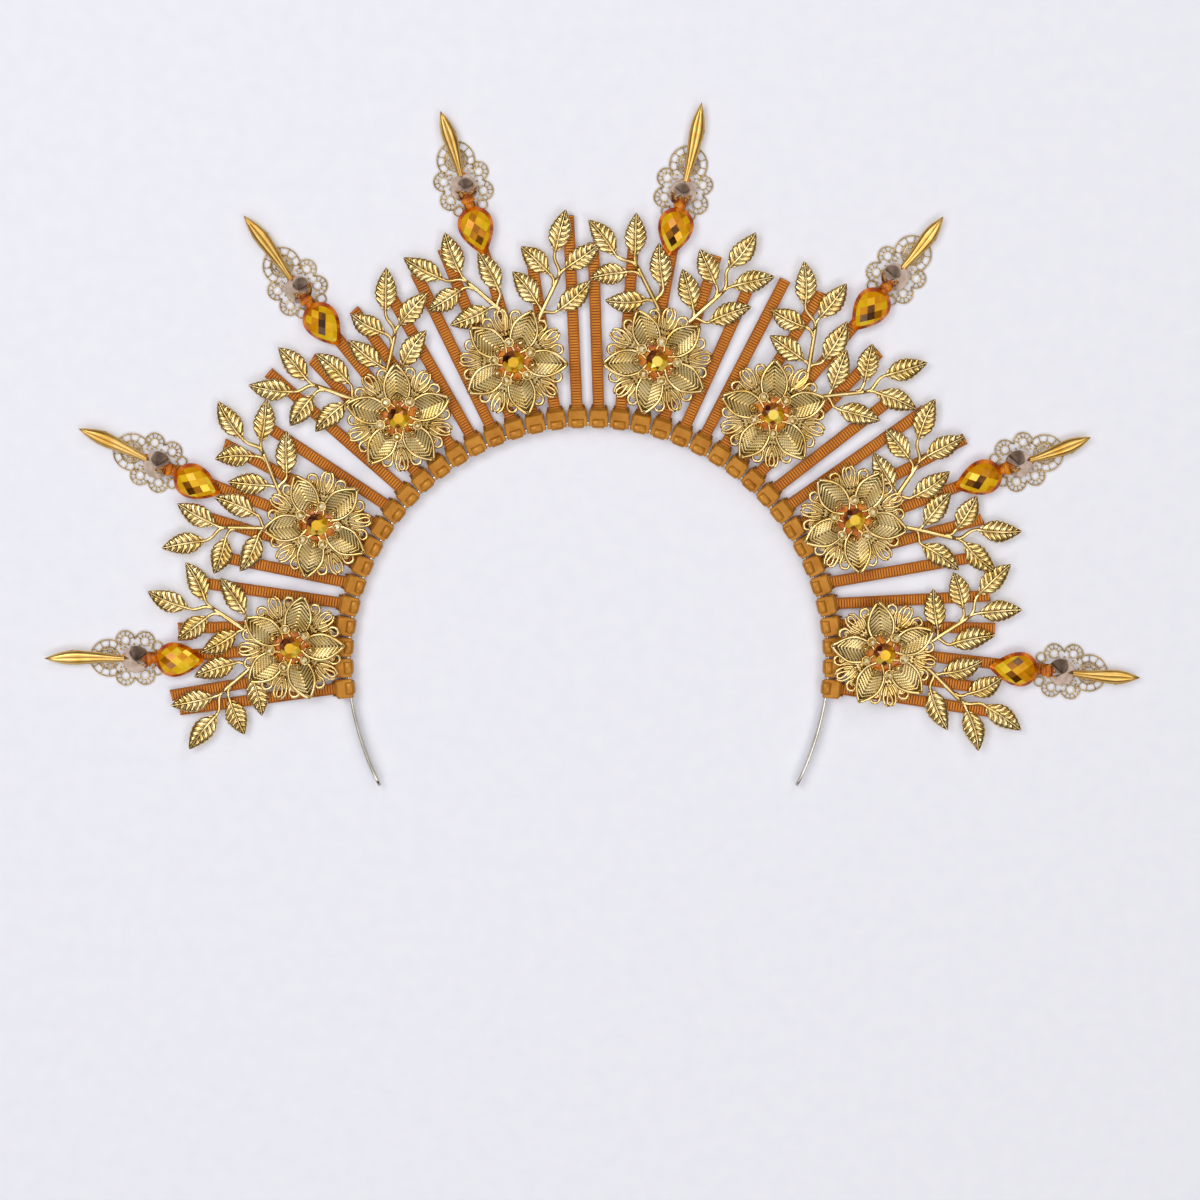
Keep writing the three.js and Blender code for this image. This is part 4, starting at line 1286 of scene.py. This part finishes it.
def pear_dome(x, y):
    """The height of the faceted dome: straight between the facets' edges in either row."""
    drop = 0.0
    for place in pear_cell(x, y):
        low = math.floor(place + 0.5) - 0.5
        drop += low ** 2 + (place - low) * (2 * low + 1)
    return PEAR["height"] + 0.5 * PEAR_FACET["slope"] - PEAR_FACET["slope"] * drop


def part_way(p, q, share):
    return p[0] + (q[0] - p[0]) * share, p[1] + (q[1] - p[1]) * share


def clipped(polygon, axis, limit, keep_above):
    """The part of a convex polygon on one side of a facet edge."""
    kept = []
    for p, q in zip(polygon, polygon[1:] + polygon[:1]):
        a, b = pear_cell(*p)[axis] - limit, pear_cell(*q)[axis] - limit
        if not keep_above:
            a, b = -a, -b
        if a >= 0:
            kept.append(p)
        if a * b < 0:
            kept.append(part_way(p, q, a / (a - b)))
    return kept


def pear_facet(outline, i, j):
    """The part of an outline that lies in one cell of the two slanting rows, or nothing."""
    cell = outline
    for axis, place in ((0, i), (1, j)):
        for limit, keep_above in ((place - 0.5, True), (place + 0.5, False)):
            cell = clipped(cell, axis, limit, keep_above) if len(cell) > 2 else []
    return cell if len(cell) > 2 else []


def pear_stone(number):
    """A pear-cut stone: a chequerboard of kite facets over its dome, a bevelled rim that the facets' edges
    run into, and a flat foiled back."""
    chance = random.Random(number)
    outer, inner = pear_outline(1.0), pear_outline(PEAR["crown"])
    girdle, rows = PEAR["girdle"], range(-PEAR_FACET["rows"], PEAR_FACET["rows"] + 1)
    corners, faces, tints, finish = [], [], [], []

    def face(points, tint, part):
        faces.append(tuple(range(len(corners), len(corners) + len(points))))
        corners.extend(points)
        tints.append(tint)
        finish.append(part)

    def foot(points):
        return [(PEAR["foot"] * x, PEAR["foot"] * y + 0.08, 0.0) for x, y in points]

    for i in rows:
        for j in rows:
            cell = pear_facet(inner, i, j)
            if cell:
                # Each facet gets a painted reflection: darker towards the round end, alternating across the
                # chequer, spread at random, and set lower where a dark part is mirrored.
                high = sum(y for _, y in cell) / len(cell) / PEAR["radius"]
                tint = 0.74 - 0.14 * high + chance.uniform(-0.15, 0.15) - 0.07 * ((i + j) % 2)
                tint = DARK_FACETS[number - 1].get((i, j), tint)
                face([(x, y, pear_dome(x, y)) for x, y in cell], tint, 0)
    pairs = []
    for p, q, r, s in zip(inner, inner[1:] + inner[:1], outer, outer[1:] + outer[:1]):
        cuts = {0.0}
        for a, b in zip(pear_cell(*p), pear_cell(*q)):
            for edge in np.arange(math.ceil(min(a, b) - 0.5) + 0.5, max(a, b), 1.0):
                cuts.add((edge - a) / (b - a))
        pairs += [(part_way(p, q, t), part_way(r, s, t)) for t in sorted(cuts)]
    for (p, r), (q, s) in zip(pairs, pairs[1:] + pairs[:1]):
        # The rim's facets get a painted reflection that rises and falls six times round the stone.
        tone = 0.5 + 0.3 * math.sin(6 * math.atan2(p[1], p[0])) + chance.uniform(-0.1, 0.1)
        face([(*r, girdle), (*s, girdle), (*q, pear_dome(*q)), (*p, pear_dome(*p))], tone, 1)
        face(foot([r, s]) + [(*s, girdle), (*r, girdle)], 0.4, 1)
    face(foot(outer[::-1]), 0.3, 1)
    made = Surface(corners, faces, False, tints)
    made.finish = finish
    return made


pear_amber = amber(
    "Foiled citrine acrylic, chequer cut",
    (
        (0.0, "#2A1400"), (0.16, "#5E3602"), (0.34, "#A46404"), (0.55, "#E09208"), (0.78, "#F4C41C"),
        (1.0, "#FFE458"),
    ),
    0.12, coat=0.12, metallic=0.15, specular=0.2,
)
rim_amber = amber(
    "Orange amber acrylic, bevelled rim",
    ((0.0, "#7A2A00"), (0.35, "#B84C00"), (0.6, "#DA6C02"), (1.0, "#F49A18")),
    0.12, coat=0.12, metallic=0.15, specular=0.2,
)


def glue_lump(x, y, lift, wide, long, tall, seed):
    """A lump of set glue with an uneven outline."""
    chance = random.Random(seed)
    waves = [(count, chance.uniform(0, 2 * math.pi)) for count in (2, 3, 5)]
    rings = []
    for level in np.radians(np.linspace(-80, 85, 9)):
        ring = []
        for turn in full_turn(24):
            wave = 1 + sum(0.2 / count * math.sin(count * turn + phase) for count, phase in waves)
            flat = wave * math.cos(level)
            height = FRONT_OF_TIES + lift + tall * math.sin(level)
            ring.append((x + wide * flat * math.cos(turn), y + long * flat * math.sin(turn), height))
        rings.append(ring)
    return loft(rings)


# Vacuum plated plastic: a rose-gold mirror, slightly hazy in patches of about 3 mm.
stud_mirror, tree, shader = new_material("Rose gilt mirror plate on moulded stud", Metallic=1.0)
haze = object_noise(tree, 350.0, 4.0)
feed(
    tree,
    shader,
    Base_Color=ramp(tree, haze, (0.35, "#BCA28A"), (0.65, "#E0C8B2")),
    Roughness=ranged(tree, haze, 0.03, 0.12),
)

plate, cone = filigree(), stud().placed(Matrix.Translation((0, 0, FRONT_OF_TIES)))
plate_seat = block((-1.6, 2.0, PLATE["back"] + 0.1), (1.6, 4.8, FRONT_OF_TIES + 0.3), 0.3)
for number, (angle, drop_reach, stud_reach, tip_reach, lean) in enumerate(FINIALS, 1):
    upright = to_row(angle) @ Matrix.Translation((0, stud_reach, 0))
    place = upright @ Matrix.Rotation(-math.radians(lean), 4, "Z")
    pear = pear_stone(number).placed(Matrix.Translation((0, drop_reach - stud_reach, FRONT_OF_TIES)))
    seated_blade = blade(tip_reach - stud_reach) + plate_seat
    lumps = joined(glue_lump(*sizes, seed + number) for *sizes, seed in GLUE_LUMPS)
    golds = [wire_gold, flower_gold]
    make_piece(f"filigree_plate_{number}", plate.placed(place), golds, [f"finial_{number}"])
    make_piece(f"blade_{number}", seated_blade.placed(place), [gilt])
    make_piece(f"stud_{number}", cone.placed(place), [stud_mirror])
    make_piece(f"pear_stone_{number}", pear.placed(place), [pear_amber, rim_amber])
    make_piece(f"finial_glue_{number}", lumps.placed(place), [glue])
